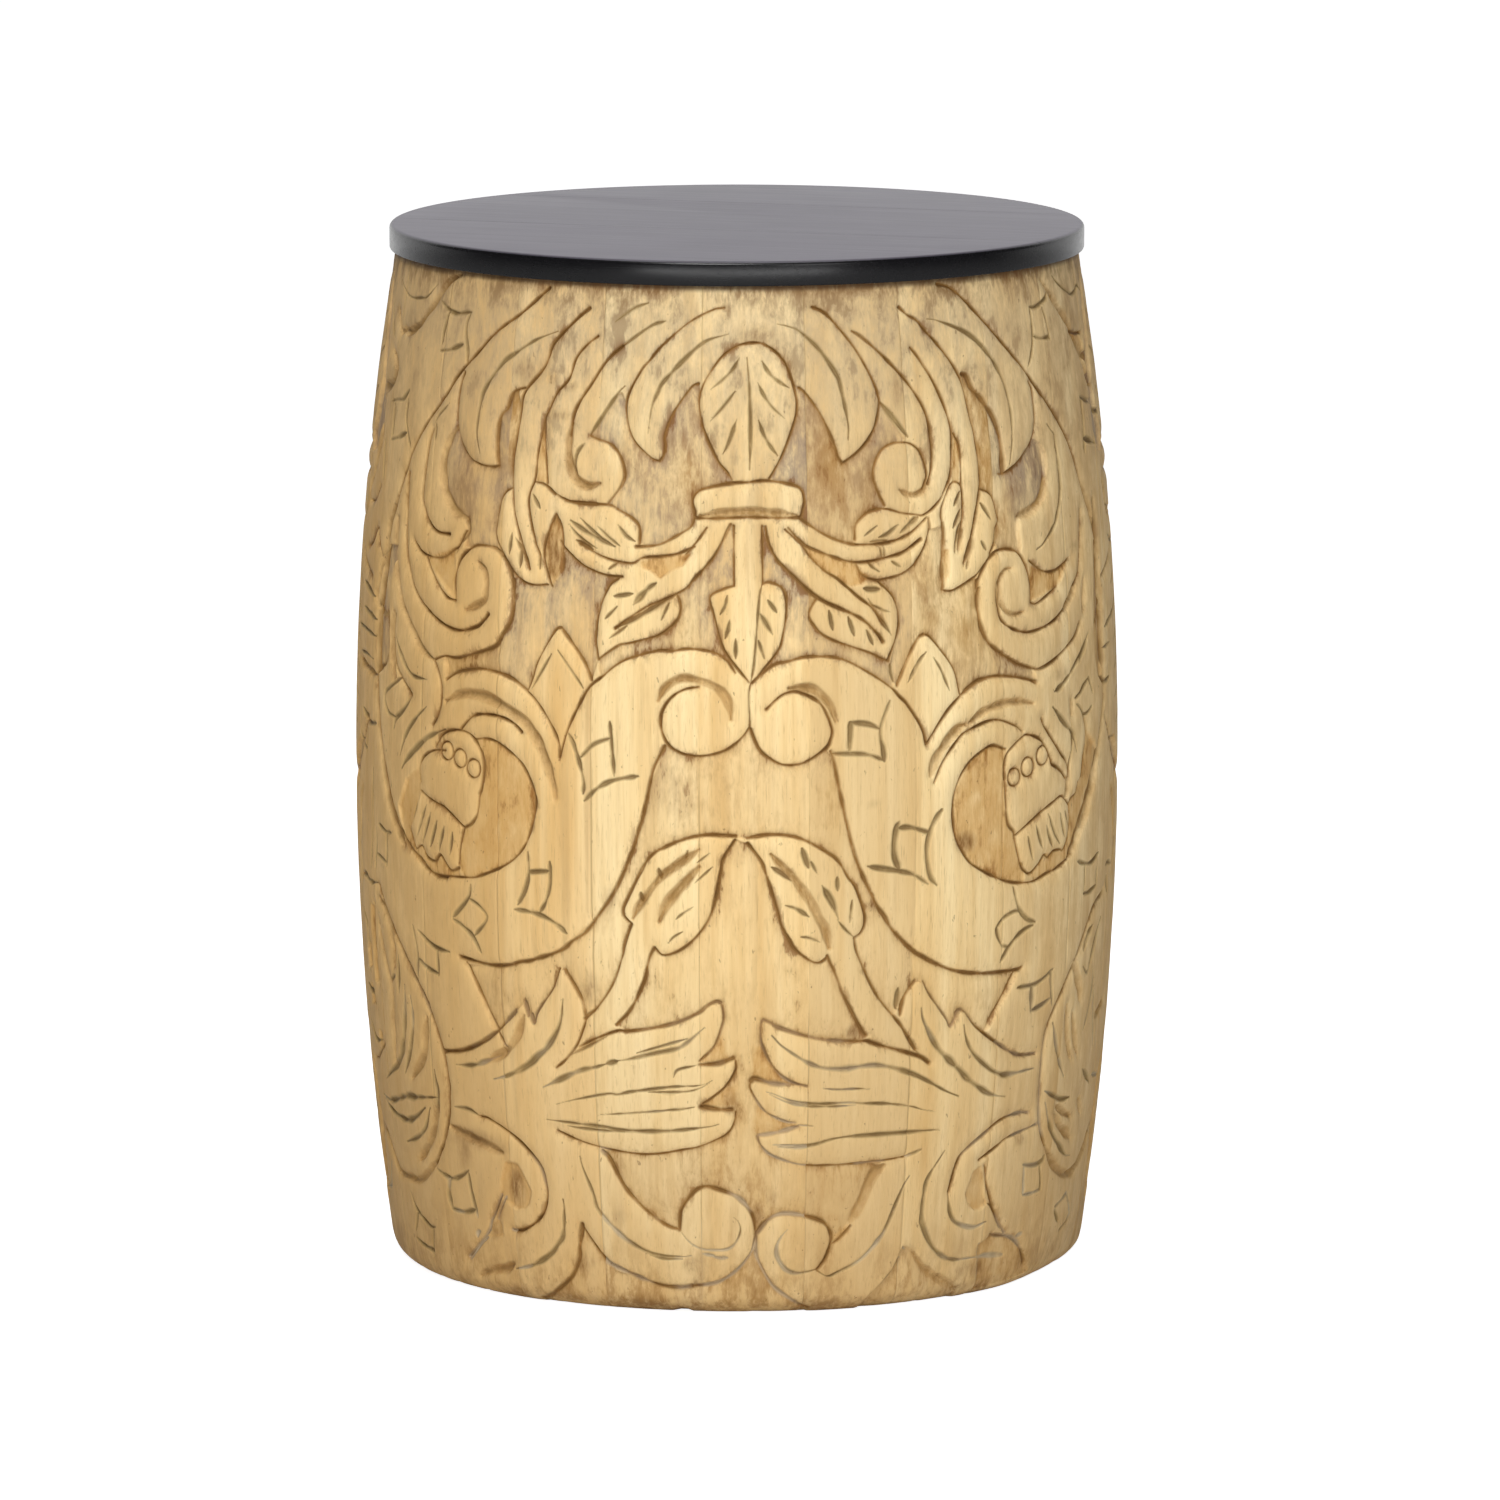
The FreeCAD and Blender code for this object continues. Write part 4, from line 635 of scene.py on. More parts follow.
# Closed outlines of the lowered ground, and of the small deeper recesses
GROUND = """
-19.5,452 -23,450.5 -32.5,438 -35.5,432.5 -37,427.5 -37,418 -39,415 -43,416 -47.5,419 -52.5,424 -56.5,432.5 -57.5,440.5 -60,447 -63,445 -76.5,425.5 -65.5,422 -60,417 -57,408.5 -59,402.5 -66,393.5 -52.5,387.5 -49,383.5 -48.5,375.5 -42.5,374.5 -36.5,376 -22.5,384.5 -21,388.5 -22,396.5 -20,400.5 -15.5,402.5 -2,405 -4.5,410.5 -9.5,415.5 -13.5,423.5 -17.5,432.5 -19,440.5 -18.5,447.5
36.5,446 40,442 44,435.5 50.5,421.5 52,417 54,413.5 62.5,418.5 68,424 72.5,430.5 75.5,441 88,423 80,421 75.5,418.5 72.5,414.5 70.5,408.5 71,402.5 76,392.5 74,391 68,390 62.5,386.5 60.5,384 59.5,375 51.5,377 43.5,380.5 31,388.5 33,391.5 34,396 33,401 29.5,403.5 16.5,407 21,414.5 25.5,422.5 30.5,437 31,445 29.5,452
150,403 160.5,406.5 171,413.5 175,417 180,414 184,409 184.5,402 183.5,397 179,388.5 175.5,385.5 170,383 159,381 158,375 159,368 158.5,362.5 155.5,365 144.5,366.5 140.5,371 141.5,377 144,381 141,392.5 137.5,395 133,397 133.5,405 132,421 128,439.5 126,452 129.5,451 132.5,444.5 138,439.5 146,429 148.5,423.5 150,418
-118,434.5 -120.5,445 -124.5,442.5 -127.5,435.5 -131,432 -132.5,425 -132,413.5 -130.5,408 -133.5,407 -142,407.5 -149,409 -154.5,413.5 -159.5,419 -162.5,427.5 -170,412.5 -171.5,404.5 -169,394.5 -165.5,389 -159.5,384 -150,380.5 -149.5,375 -150,368 -146.5,367 -140.5,369 -133.5,369 -127.5,368 -129.5,375 -129,385 -127.5,391.5 -124.5,396 -121,398 -120.5,415.5
-3,385.5 -11,370.5 -24.5,355 -29,352.5 -27.5,345 -29,340.5 -33.5,335.5 -39.5,332 -58,327 -68.5,319.5 -66.5,311.5 -59.5,317.5 -52.5,321 -38,325 -31,325 -24,326 -18,326 -12.5,325 -5.5,321.5 -.5,315 -3.5,322 -7,328 -12.5,347 -13,351 -10,353 -1,356.5 -1.5,385
14.5,384.5 15.5,377.5 20,368.5 32,356.5 40,350 37,346.5 35.5,342.5 37,338 40.5,334 45,331 66,323 75.5,318.5 78.5,308.5 77,305.5 66,313 51,321 40.5,322.5 34.5,322 20.5,319.5 15,317 10,313 20.5,325.5 22,330.5 24.5,344 24,350 23,354.5 20,357 16.5,358 13,357.5 12.5,385
-68.5,319.5 -70,329 -69.5,336 -66.5,349 -63.5,355 -59,359 -57,359.5 -65.5,360 -77,364 -83,367.5 -87.5,371.5 -89,366 -89,361 -94.5,353 -97,354 -104,353 -110,354 -114,356 -117.5,355 -117,349 -117,341 -119,334 -126.5,322.5 -132.5,319.5 -146.5,315 -152.5,314 -162,313.5 -160,308 -160,302.5 -152.5,307 -143,309 -133.5,310 -118,307.5 -107,302 -102,316 -98,323 -91,333 -89,333.5 -77,319.5 -72,309
78.5,308.5 76.5,317 80.5,330.5 81.5,338 81,344 78.5,350 71,357 82.5,359 89.5,362.5 94.5,367.5 96.5,371 100,379.5 107.5,381 108,371 107,350.5 113.5,350 125,355 129,354 127.5,343 129.5,331.5 132.5,326 136,321.5 151.5,312 165.5,307.5 167,300.5 160,302.5 144,306 133,306 124.5,304 115.5,300 114,306 111.5,313 103,324 99,328.5 95,330 92,328.5 84,314.5 80,306.5
-43.5,254 -47.5,239 -53.5,222.5 -59.5,209.5 -70,194 -83,182.5 -97,174 -112.5,170 -131,166.5 -148.5,165 -143,159 -139,152.5 -130,134 -125,137.5 -110.5,150.5 -108.5,144 -107,144.5 -105.5,140.5 -103.5,146 -95.5,156.5 -92.5,161.5 -90,168.5 -87,168.5 -81,159 -78,153.5 -76,145.5 -72,148 -62,162.5 -59,170 -51.5,193 -55,196.5 -55.5,200 -44.5,222.5 -41,227 -36.5,230 -25,235 -14.5,237 -.5,236.5 5,235.5 17.5,237 24.5,237 30.5,235 45.5,227 50,223 58.5,210 63,197 63,192 61,188 58,185.5 60,177.5 70,157.5 79,147 81,150 83.5,146.5 84,152.5 86.5,157 90.5,162 95.5,162 99.5,155.5 110,142.5 112,138.5 117,145.5 120.5,145 129,136 134,133 137.5,136 142,143 149,151 155,160 130.5,162.5 114.5,165.5 101,170.5 89.5,177.5 78,188.5 69,201.5 62,216 57,230 47.5,271.5 43,278 32,271.5 22,271 12.5,276.5 6.5,289.5 4,285.5 0,281.5 -5.5,278 -11,276 -18,275 -27,276.5 -34.5,279.5
-1,235 -6.5,225.5 -10,206 -12,200 -18,189 -27,181.5 -31.5,179 -36,178 -40,181.5 -42.5,178 -45.5,165.5 -52.5,151 -60,143 -53.5,140 -32,144.5 -19,150.5 -14.5,154 -10,156 -8,155.5 -6.5,151 -6.5,146 -10,135.5 -18.5,127 -13.5,125 -9,126 -1.5,128.5 -.5,127 -.5,123 -5,115 -17.5,104.5 -9,103 -2.5,103 -.5,102 -1,96.5 -3,93 -6.5,90 -19,84.5 -41,80.5 -48,80 -61.5,81 -69.5,80.5 -66,76.5 -59.5,65 -55,59 -46,51 -36.5,44.5 -30.5,43 -28.5,53 -26,58 -22,62 -17.5,64.5 -13,64.5 -4,61.5 .5,59.5 7.5,52 9,47 10,41.5 16,48 19.5,50 24,51 35,49.5 44.5,46.5 48.5,43 50,39 54.5,38 65.5,55 70,65.5 73,70 76,72 67.5,75 50,74 38.5,74.5 31,75.5 18.5,80 14,83 11.5,86.5 10.5,90 31,94 20,98 11,105 7,113 7,117 12,117.5 21.5,115.5 29,115 19,123 16,127 12.5,135.5 12,145 13,147 21,143 36,138 45,136 60,135 65,137 56,152 44.5,177.5 41,174.5 37,175 32.5,177.5 28.5,181.5 22,193 12,224 5.5,233
-86,31 -83,42.5 -78.5,36 -65,20.5 -55,18.5 -45,15 -30,13.5 -15,15.5 -5,19 3,26 7,31 9.5,33 10.5,30 17,18 21.5,13 26.5,9 39.5,3 39,-2 -114,-2 -114.5,2 -110,3.5 -104,6 -93,14 -89,19.5 -86,25.5
97.5,27.5 94,30 90.5,31 84.5,18.5 70,5 68,-2 132,-2 129.5,5 118,10.5 106,18
268,489 270,474 264,458 261,442 263,424 271,410 266,401 254,404 249,416 250,432 258,470
319.5,489 317.5,474 323.5,458 326.5,442 324.5,424 316.5,410 321.5,401 333.5,404 338.5,416 337.5,432 329.5,470
270,104 272,82 271,62 277,46 286,35 280,26 266,32 258,48 255,70 259,92
317.5,104 315.5,82 316.5,62 310.5,46 301.5,35 307.5,26 321.5,32 329.5,48 332.5,70 328.5,92
262,262 283,247 277,232 268,236 260,246 252,258
325.5,262 304.5,247 310.5,232 319.5,236 327.5,246 335.5,258
-221,361 -226,345 -229,328 -229,312 -228,297 -221,300 -216,310 -214,322 -215,338 -212,352 -208,362
238,361 240,326 238,290 230,296 226,308 226,322 232,361
"""
RECESS = """
-103,431 -99.5,402 -106.5,402.5 -106,413
-93.5,387.5 -97,380.5 -99,373.5 -99.5,368 -94.5,353 -89,361 -88.5,368 -89.5,380.5
-48,367.5 -46,364 -42.5,363 -37.5,359.5 -32,363.5 -26,366 -22.5,371.5 -37.5,370
32,377 36,374 55,367 59.5,366 62,362 66,359 62,356 56,355 50,359.5 43,363 36,370
118,424.5 121.5,417 120,405 119,400.5 115,401
110.5,370 111,365.5 110.5,357 108,354 107,357 107.5,365.5 108.5,370
-180,359.5 -157,366 -155,341
165,357 165,340 188,344.5 200,356 185,352 175,353.5
-140,275.5 -131,277 -123,275 -116,271.5 -110,267 -106,261 -103,255 -102,250 -102,246 -104,236.5 -107.5,228.5 -112.5,222.5 -118,217.5 -138,209 -146.5,207.5 -150.5,214 -149.5,223 -146.5,232 -141,235 -137.5,240 -136,249.5 -134.5,252.5 -133.5,259.5 -133.5,267 -136.5,272.5
-150.5,212 -157,210 -164.5,216.5 -169,213 -175,214 -180,219 -185.5,216.5 -190,225.5 -187,229.5 -181,242 -180,250.5 -181,257 -192,250 -200,236 -197,224 -190,216 -182,211 -170,206 -150,207.5
144,270.5 136,273 131,272 125.5,269.5 121,266.5 114,257.5 111.5,251.5 111,246 111,238.5 112.5,231.5 115.5,225.5 119,220 124.5,215.5 138.5,208.5 145.5,206 157.5,203.5 157.5,210 154.5,214.5 150,229.5 146.5,233 145,238.5 143,260
162.5,207.5 169,211.5 174,215.5 187.5,216 190,215.5 193,218.5 195.5,224 196,231 195.5,237 197.5,240 202.5,241.5 205,247 209,252 214,266 213.5,272 230,258 226.5,252.5 222.5,243.5 213.5,229 201,216 195,211.5 184,207 165.5,203.5
-17,105 -12,108 -5,114 0,114 -1,105
-18,126 -11,134 -7,140 -4,128
9,134 8,119 23,115.5 29,115 22.5,119 16,126 12.5,134
8.5,93 9,100 11,105 20,98 30.5,95.5 26,93.5 11,90
149.5,30.5 167.5,26.5 178,18.5 183,12 190,6 142,3 140,20.5 140,26.5
-123.5,70 -120,69.5 -117,65.5 -112,56.5 -114,50 -117,47.5 -122,46.5 -130,50 -133,52.5 -132,59 -127.5,70
136.5,66.5 132,64.5 127.5,53.5 130,48 134.5,45 139.5,45 144,47 141.5,50 138.5,63
-136,40 -134,37.5 -133,32 -145,30 -143.5,34 -140,37.5
50,38 60,45 60,41 52,35
230,463 247,460 252,450 245,447
-239,143 -236,156 -237,180 -243,181 -244,168 -242,143
-254,148 -247,150 -246,160 -251,163 -256,157
-254,130 -246,131 -246.5,138 -252,141
-243,110 -237,109 -236.5,118 -242,119
"""

# Drawn once, and mirrored about the middle of the side, SIDE_AXIS
SIDE_AXIS = 293.74
MIRRORED = (SIDE_PAIRS,)
CARVING = (BUD, CROWN, SCROLL_UPPER_LEFT, LEAVES_LEFT, STEM, LEAVES_RIGHT, SCROLL_UPPER_RIGHT, SQUARES_RIGHT,
           VOLUTE_SIDE_RIGHT, VOLUTE_SIDE_LEFT, POD_LEFT, POD_RIGHT, VOLUTES_MAIN, SQUARES_LEFT, SIDE_LEFT,
           SIDE_RIGHT, LEAF_LOWER_LEFT, LEAF_LOWER_RIGHT, FANS_LEFT, FANS_RIGHT, SCROLL_LOWER_LEFT,
           SCROLL_LOWER_RIGHT, SIDE_PAIRS, SIDE_MIDDLE)

# Soft stains in the wood: distance round, height, half width, half height, strength
STAINS = (
    (-23.5, 25.6, 4, 4, .9), (-21, 16.4, 3, 3, .9), (-19, 18, 1.2, 17, .8), (-63, 48, 5, 5, .4),
    (188, 302, 9, 3, .5), (7.2, 252.3, 2, 2, .8), (67.3, 251.4, 2, 2, .7), (66.5, 200.8, 2.2, 2.2, .6),
    (118.5, 228, 6, 5, 1.1), (11, 475.5, 9, 4, .8), (-147, 78, 22, 5, .5), (58.6, 139.2, 4, 4, .9),
    (11, 50, 3, 6, .6), (18, 60, 3, 5, .5), (-80, 25, 5, 4, .5), (145, 15, 19, 4, .6), (166, 76, 6, 3, .6),
    (-40, 3, 30, 5, .6), (60, 3, 40, 5, .5), (-120, 3, 30, 5, .5), (140, 3, 30, 6, .6), (178, 496, 24, 4, 1),
    (-47, 495, 15, 4, .8), (-90, 496, 40, 3, .6), (60, 496, 50, 3, .5), (87, 371, 2, 2, .8),
    (205.4, 362, 3, 3, .8), (217, 372.3, 3, 3, .8), (215.5, 330.5, 3, 3, .9), (-8.6, 29.4, 4, 1.2, .5),
    (-115, 455, 9, 6, .5), (-98.8, 452, 4, 3, .6), (-86.2, 448.8, 3, 2, .7), (-92.2, 434.8, 5, 2.5, .7),
    (-93.5, 368.2, 6, 14, .9), (-153.8, 405, 8, 16, .4), (128.5, 452.5, 3, 6, .6), (85, 447, 3, 8, .6),
    (175.5, 406.8, 8, 14, .4), (179, 372.8, 4, 6, .5), (96, 344.8, 6, 8, .4), (-129.5, 154.5, 8, 12, .45),
    (-74, 159.8, 5, 9, .7), (-62.2, 204.8, 4, 6, .6), (-122, 57, 5, 9, 1.3), (-139, 34, 4, 4, .9),
    (-84, 23, 5, 4, .8), (-3.2, 106.8, 4, 6, .7), (-157, 72, 6, 10, .5),
)

# Kind of line: its width against the drawn one; its depth for each mm of half width, what is added to
# that and the most it may be; and over what share of its length each end tapers, how thin and how sharply
STROKES = {
    "o": (.86, (1.1, .3, 1.9), None),
    "v": (1.2, (.8, .3, 1.9), (.3, .18, .7)),
    "g": (1.12, (.55, .7, 2.3), (.16, .2, .6)),
    "n": (1.2, (.8, .3, 1.9), (.08, .5, 1)),
}
UNSTEADY, STEADY = (.68, 1.22), 5         # how the hand varies, and for how many mm it takes to change
ROUNDED = 7               # how far beside a form's cut its edge is rounded over, in mm
SLOPED = 11               # how far beside a form the ground is deeper, in mm
RECESS_DEPTH = 1.45

# Waves in the surface: height in mm, wavelength in mm and seed
CHISEL_MARKS = ((.5, 9, 3), (.3, 4.5, 5), (.2, 2.4, 7))
UNEVEN_WOOD = ((.08, 22, 11), (.05, 6, 12))
SANDED = .13              # taken off all over

# The worn foot, in mm: how deep and how far up each wear goes, then where it is and how wide
KNOCKS, WORN_EDGE = (.9, 5), (1.6, 13)
LEAN = (3, 26, 222, 42)
NOTCH = (7, 3.4, -30.5, 6)

# The seams between staves, in mm: how far from the joint the dip and the dark line in it reach
SEAM_DIP, SEAM_LINE = .7, .5
SEAM_WAVE = 60            # the length over which a seam opens and closes


def hand_points(words):
    """Points written as distance,height."""
    return [tuple(float(v) for v in pair.split(",")) for pair in words]


def repeats(points, margin):
    """The points wherever the pattern, which repeats every half turn, brings them on to the drawn half."""
    for shift in (-HALF, 0, HALF):
        moved = np.asarray(points) + (shift, 0)
        if moved[:, 0].max() > SEAM_0 - margin and moved[:, 0].min() < SEAM_0 + HALF + margin:
            yield moved


def catmull(points, step):
    """A smooth line through given points, sampled about every step mm."""
    p = np.asarray(points, float)
    if len(p) == 2:
        n = max(2, int(np.hypot(*(p[1] - p[0])) / step) + 1)
        return p[0] + np.linspace(0, 1, n)[:, None] * (p[1] - p[0])
    closed = np.allclose(p[0], p[-1])
    t = np.concatenate([[0], np.cumsum(np.maximum(np.hypot(*np.diff(p, axis=0).T), 1e-3) ** .5)])
    before = p[-2] if closed else 2 * p[0] - p[1]
    after = p[1] if closed else 2 * p[-1] - p[-2]
    tb = t[0] - (t[-1] - t[-2]) if closed else t[0] - (t[1] - t[0])
    ta = t[-1] + (t[1] - t[0]) if closed else t[-1] + (t[-1] - t[-2])
    q = np.vstack([before, p, after])
    u = np.concatenate([[tb], t, [ta]])
    m = (q[2:] - q[:-2]) / (u[2:] - u[:-2])[:, None]
    out = []
    for i in range(len(p) - 1):
        h = t[i + 1] - t[i]
        n = max(1, int(math.ceil(h * h / step)))
        x = np.arange(n)[:, None] / n
        out.append((2 * x**3 - 3 * x**2 + 1) * p[i] + (x**3 - 2 * x**2 + x) * h * m[i]
                   + (3 * x**2 - 2 * x**3) * p[i + 1] + (x**3 - x**2) * h * m[i + 1])
    out.append(p[-1:])
    return np.vstack(out)


class Relief:
    """The half drum's unrolled surface as grids: how deep each cut, recess and rounding goes, in mm."""

    def __init__(self):
        self.w, self.h = int(round(HALF * PX)) + 1, int(round(HEIGHT * PX)) + 1
        grids = np.zeros((7, self.h, self.w), np.float32)
        self.cut, self.round, self.line, self.amber, self.ground, self.recess, self.near = grids

    def window(self, a, b, reach):
        """Grid slices round the segment a to b, and each grid point's distance from the segment in mm."""
        x0, x1 = (min(a[0], b[0]) - reach - SEAM_0) * PX, (max(a[0], b[0]) + reach - SEAM_0) * PX
        z0, z1 = (min(a[1], b[1]) - reach) * PX, (max(a[1], b[1]) + reach) * PX
        i0, i1, j0, j1 = max(0, int(x0)), min(self.w, int(x1) + 2), max(0, int(z0)), min(self.h, int(z1) + 2)
        if i0 >= i1 or j0 >= j1:
            return None
        x = np.arange(i0, i1) / PX + SEAM_0 - a[0]
        z = (np.arange(j0, j1) / PX - a[1])[:, None]
        dx, dz = b[0] - a[0], b[1] - a[1]
        t = np.clip((x * dx + z * dz) / max(dx * dx + dz * dz, 1e-9), 0, 1)
        return (slice(j0, j1), slice(i0, i1)), np.hypot(x - t * dx, z - t * dz)

    def raise_to(self, grid, a, b, reach, profile):
        """Lifts a grid beside the segment a to b to what profile gives for the distance from it."""
        found = self.window(a, b, reach)
        if found:
            at, d = found
            grid[at] = np.maximum(grid[at], profile(d))

    def stroke(self, kind, width, line):
        """Cuts one line with an unsteady hand."""
        n = len(line)
        share, (slope, least, most), taper = STROKES[kind]
        rng = np.random.default_rng(n * 13 + int(width * 100))
        knots = np.arange(0, n + STEADY, STEADY)
        hand = np.interp(np.arange(n), knots, rng.uniform(*UNSTEADY, len(knots)))
        half = width / 2 * hand * share
        if taper:
            along = np.linspace(0, 1, n)
            length, thin, power = taper
            half *= np.clip(np.minimum(along, 1 - along) / length, thin, 1) ** power
        for i in range(n - 1):
            a, b, r = line[i], line[i + 1], (half[i] + half[i + 1]) / 2
            deepest = min(slope * r + least, most) * hand[i]
            if kind == "g":
                self.raise_to(self.cut, a, b, r + .3, lambda d: deepest * np.clip(1 - (d / r) ** 2, 0, 1) ** .9)
                self.raise_to(self.amber, a, b, r + .3, lambda d: np.clip(1.3 - d / r, 0, 1))
            else:
                self.raise_to(self.cut, a, b, r + .3, lambda d: deepest * np.clip(1 - d / r, 0, 1))
                self.raise_to(self.line, a, b, r + .3, lambda d: np.clip(1.25 - d / r, 0, 1) * hand[i])
            if kind in "og" and i % 2 == 0:
                self.raise_to(self.round, a, line[min(i + 2, n - 1)], ROUNDED,
                              lambda d: np.clip(1 - d / ROUNDED, 0, 1) ** 2.2)

    def fill(self, grid, points):
        """Sets the inside of a closed outline in a grid to 1."""
        p = (points - (SEAM_0, 0)) * PX
        q = np.roll(p, -1, 0)
        for j in range(max(0, int(p[:, 1].min())), min(self.h, int(p[:, 1].max()) + 2)):
            hit = (p[:, 1] <= j) != (q[:, 1] <= j)
            if hit.any():
                x = np.sort(p[hit, 0] + (j - p[hit, 1]) * (q[hit, 0] - p[hit, 0]) / (q[hit, 1] - p[hit, 1]))
                for lo, hi in zip(x[::2], x[1::2]):
                    grid[j, max(0, int(math.ceil(lo))):max(0, int(hi) + 1)] = 1

    def draw(self):
        """Cuts every line of the carving, and lowers the ground and the recesses."""
        for group in CARVING:
            for kind, *words in (line.split() for line in group.split("\n") if line):
                points = hand_points(words)
                both = [points]
                if group in MIRRORED:
                    both.append([(round(2 * SIDE_AXIS - s, 1), z) for s, z in points])
                for side in both:
                    for line in repeats(catmull(side, 1.0), 6):
                        self.stroke(kind[0], float(kind[1:]), line)
        for text, grid in ((GROUND, self.ground), (RECESS, self.recess)):
            for words in (line.split() for line in text.split("\n") if line):
                for points in repeats(hand_points(words), 9):
                    self.fill(grid, points)
                    if grid is self.ground:
                        for a, b in zip(points, np.roll(points, -1, 0)):
                            self.raise_to(self.near, a, b, SLOPED, lambda d: np.clip(1 - d / SLOPED, 0, 1))


def soften(grid, times):
    """Blurs a grid a little, as wear does to an edge."""
    for _ in range(times):
        for axis in (0, 1):
            padded = np.pad(grid, [(1, 1) if a == axis else (0, 0) for a in (0, 1)], mode="edge")
            grid = sum(np.take(padded, range(k, k + grid.shape[axis]), axis) for k in range(3)) / 3
    return grid


def waves(shape, wavelength, seed, px=PX):
    """Smooth random waves over a grid, about -1 to 1, the same on each run."""
    rng = np.random.default_rng(seed)
    nz, nx = int(shape[0] / px / wavelength) + 3, int(shape[1] / px / wavelength) + 3
    knots = rng.uniform(-1, 1, (nz, nx))
    z = np.arange(shape[0]) / px / wavelength
    x = np.arange(shape[1]) / px / wavelength
    iz, ix = z.astype(int), x.astype(int)
    fz, fx = z - iz, x - ix
    fz, fx = (fz * fz * (3 - 2 * fz))[:, None], fx * fx * (3 - 2 * fx)
    a, b = knots[iz][:, ix], knots[iz][:, ix + 1]
    c, d = knots[iz + 1][:, ix], knots[iz + 1][:, ix + 1]
    return ((a * (1 - fx) + b * fx) * (1 - fz) + (c * (1 - fx) + d * fx) * fz).astype(np.float32)


def wear_foot(depth, s, z):
    """Wears the foot: small knocks, a rounded edge, a lean on the right and one notch."""
    def below(height):
        return np.clip(1 - z / height, 0, 1)

    deep, height = KNOCKS
    knocks = np.clip(waves(depth.shape, 7, 21) * 1.6 - .5, 0, 1) * below(height) * deep
    deep, height = WORN_EDGE
    depth += knocks + deep * below(height) ** 1.3
    deep, height, at, wide = LEAN
    depth += deep * below(height) * np.clip(1.3 - np.abs(s - at) / wide, 0, 1)
    deep, height, at, wide = NOTCH
    depth += deep * np.clip(1 - np.hypot((s - at) / wide, z / height), 0, 1)


def carve(settings):
    """The finished relief: depth below the turned drum in mm, and the masks that colour it."""
    r = Relief()
    r.draw()
    ground, recess, shape = soften(r.ground, 2), soften(r.recess, 2), r.cut.shape
    chisel = sum(k * waves(shape, length, seed) for k, length, seed in CHISEL_MARKS)
    deep, shallow = settings.ground_depth * 1000, settings.ground_middle * 1000
    floor = shallow + (deep - shallow) * r.near ** 1.5 + .3 * chisel
    pit = RECESS_DEPTH + .35 * chisel
    low = np.maximum(ground, recess)
    base = np.maximum(ground * floor, recess * pit)
    dome = r.round * settings.rounding * 1000 * (1 - low)
    cut = r.cut * (1 - .45 * low) * settings.cut_depth
    depth = soften(base + dome, 1)
    for k, length, seed in UNEVEN_WOOD:
        depth += k * waves(shape, length, seed)
    depth += SANDED
    z = (np.arange(r.h) / PX)[:, None]
    s = np.arange(r.w) / PX + SEAM_0
    wear_foot(depth, s, z)
    stain = np.zeros_like(depth)
    for x, y, rx, rz, k in STAINS:
        stain = np.maximum(stain, k * np.clip(1.35 - np.hypot((s - x) / rx, (z - y) / rz), 0, 1))
    masks = {"groove": np.clip(r.line, 0, 1), "ground": ground, "recess": recess,
             "amber": r.amber, "stain": stain, "near": r.round}
    return np.clip(depth + cut, 0, 8), masks


def turned_radius(z):
    """The drum's outside radius at a height, before it is carved."""
    r1 = ((BELLY_R - MOUTH_R) ** 2 + (HEIGHT - BELLY_Z) ** 2) / (2 * (BELLY_R - MOUTH_R))
    r2 = ((BELLY_R - HEEL_R) ** 2 + BELLY_Z ** 2) / (2 * (BELLY_R - HEEL_R))
    big = np.where(z > BELLY_Z, r1, r2)
    r = BELLY_R - big + np.sqrt(big ** 2 - (z - BELLY_Z) ** 2)
    middle = BELLY_R - r2 + math.sqrt((r2 - HEEL_ROUND) ** 2 - (BELLY_Z - HEEL_ROUND) ** 2)
    heel = middle + np.sqrt(np.maximum(HEEL_ROUND ** 2 - (HEEL_ROUND - z) ** 2, 0))
    return np.where(z < BELLY_Z - (BELLY_Z - HEEL_ROUND) * r2 / (r2 - HEEL_ROUND), heel, r)


def uneven(field, size, tolerance):
    """True for each cell of that many grid steps whose middle strays from its corners by more than tolerance."""
    nz, nx = (field.shape[0] - 1) // size, (field.shape[1] - 1) // size
    c = field[::size, ::size][:nz + 1, :nx + 1]
    a, b, d, e = c[:-1, :-1], c[:-1, 1:], c[1:, :-1], c[1:, 1:]
    worst = np.zeros((nz, nx), np.float32)
    for i in range(size + 1):
        v = i / size
        for j in range(size + 1):
            u = j / size
            flat = (a * (1 - u) + b * u) * (1 - v) + (d * (1 - u) + e * u) * v
            worst = np.maximum(worst, np.abs(field[i:i + nz * size:size, j:j + nx * size:size][:nz, :nx] - flat))
    return worst > tolerance


def round_about(mask):
    """The cells of twice the size that hold a marked cell or the neighbour of one."""
    out = mask.copy()
    out[1:] |= mask[:-1]
    out[:-1] |= mask[1:]
    out[:, 1:] |= mask[:, :-1]
    out[:, :-1] |= mask[:, 1:]
    return out[::2, ::2] | out[1::2, ::2] | out[::2, 1::2] | out[1::2, 1::2]


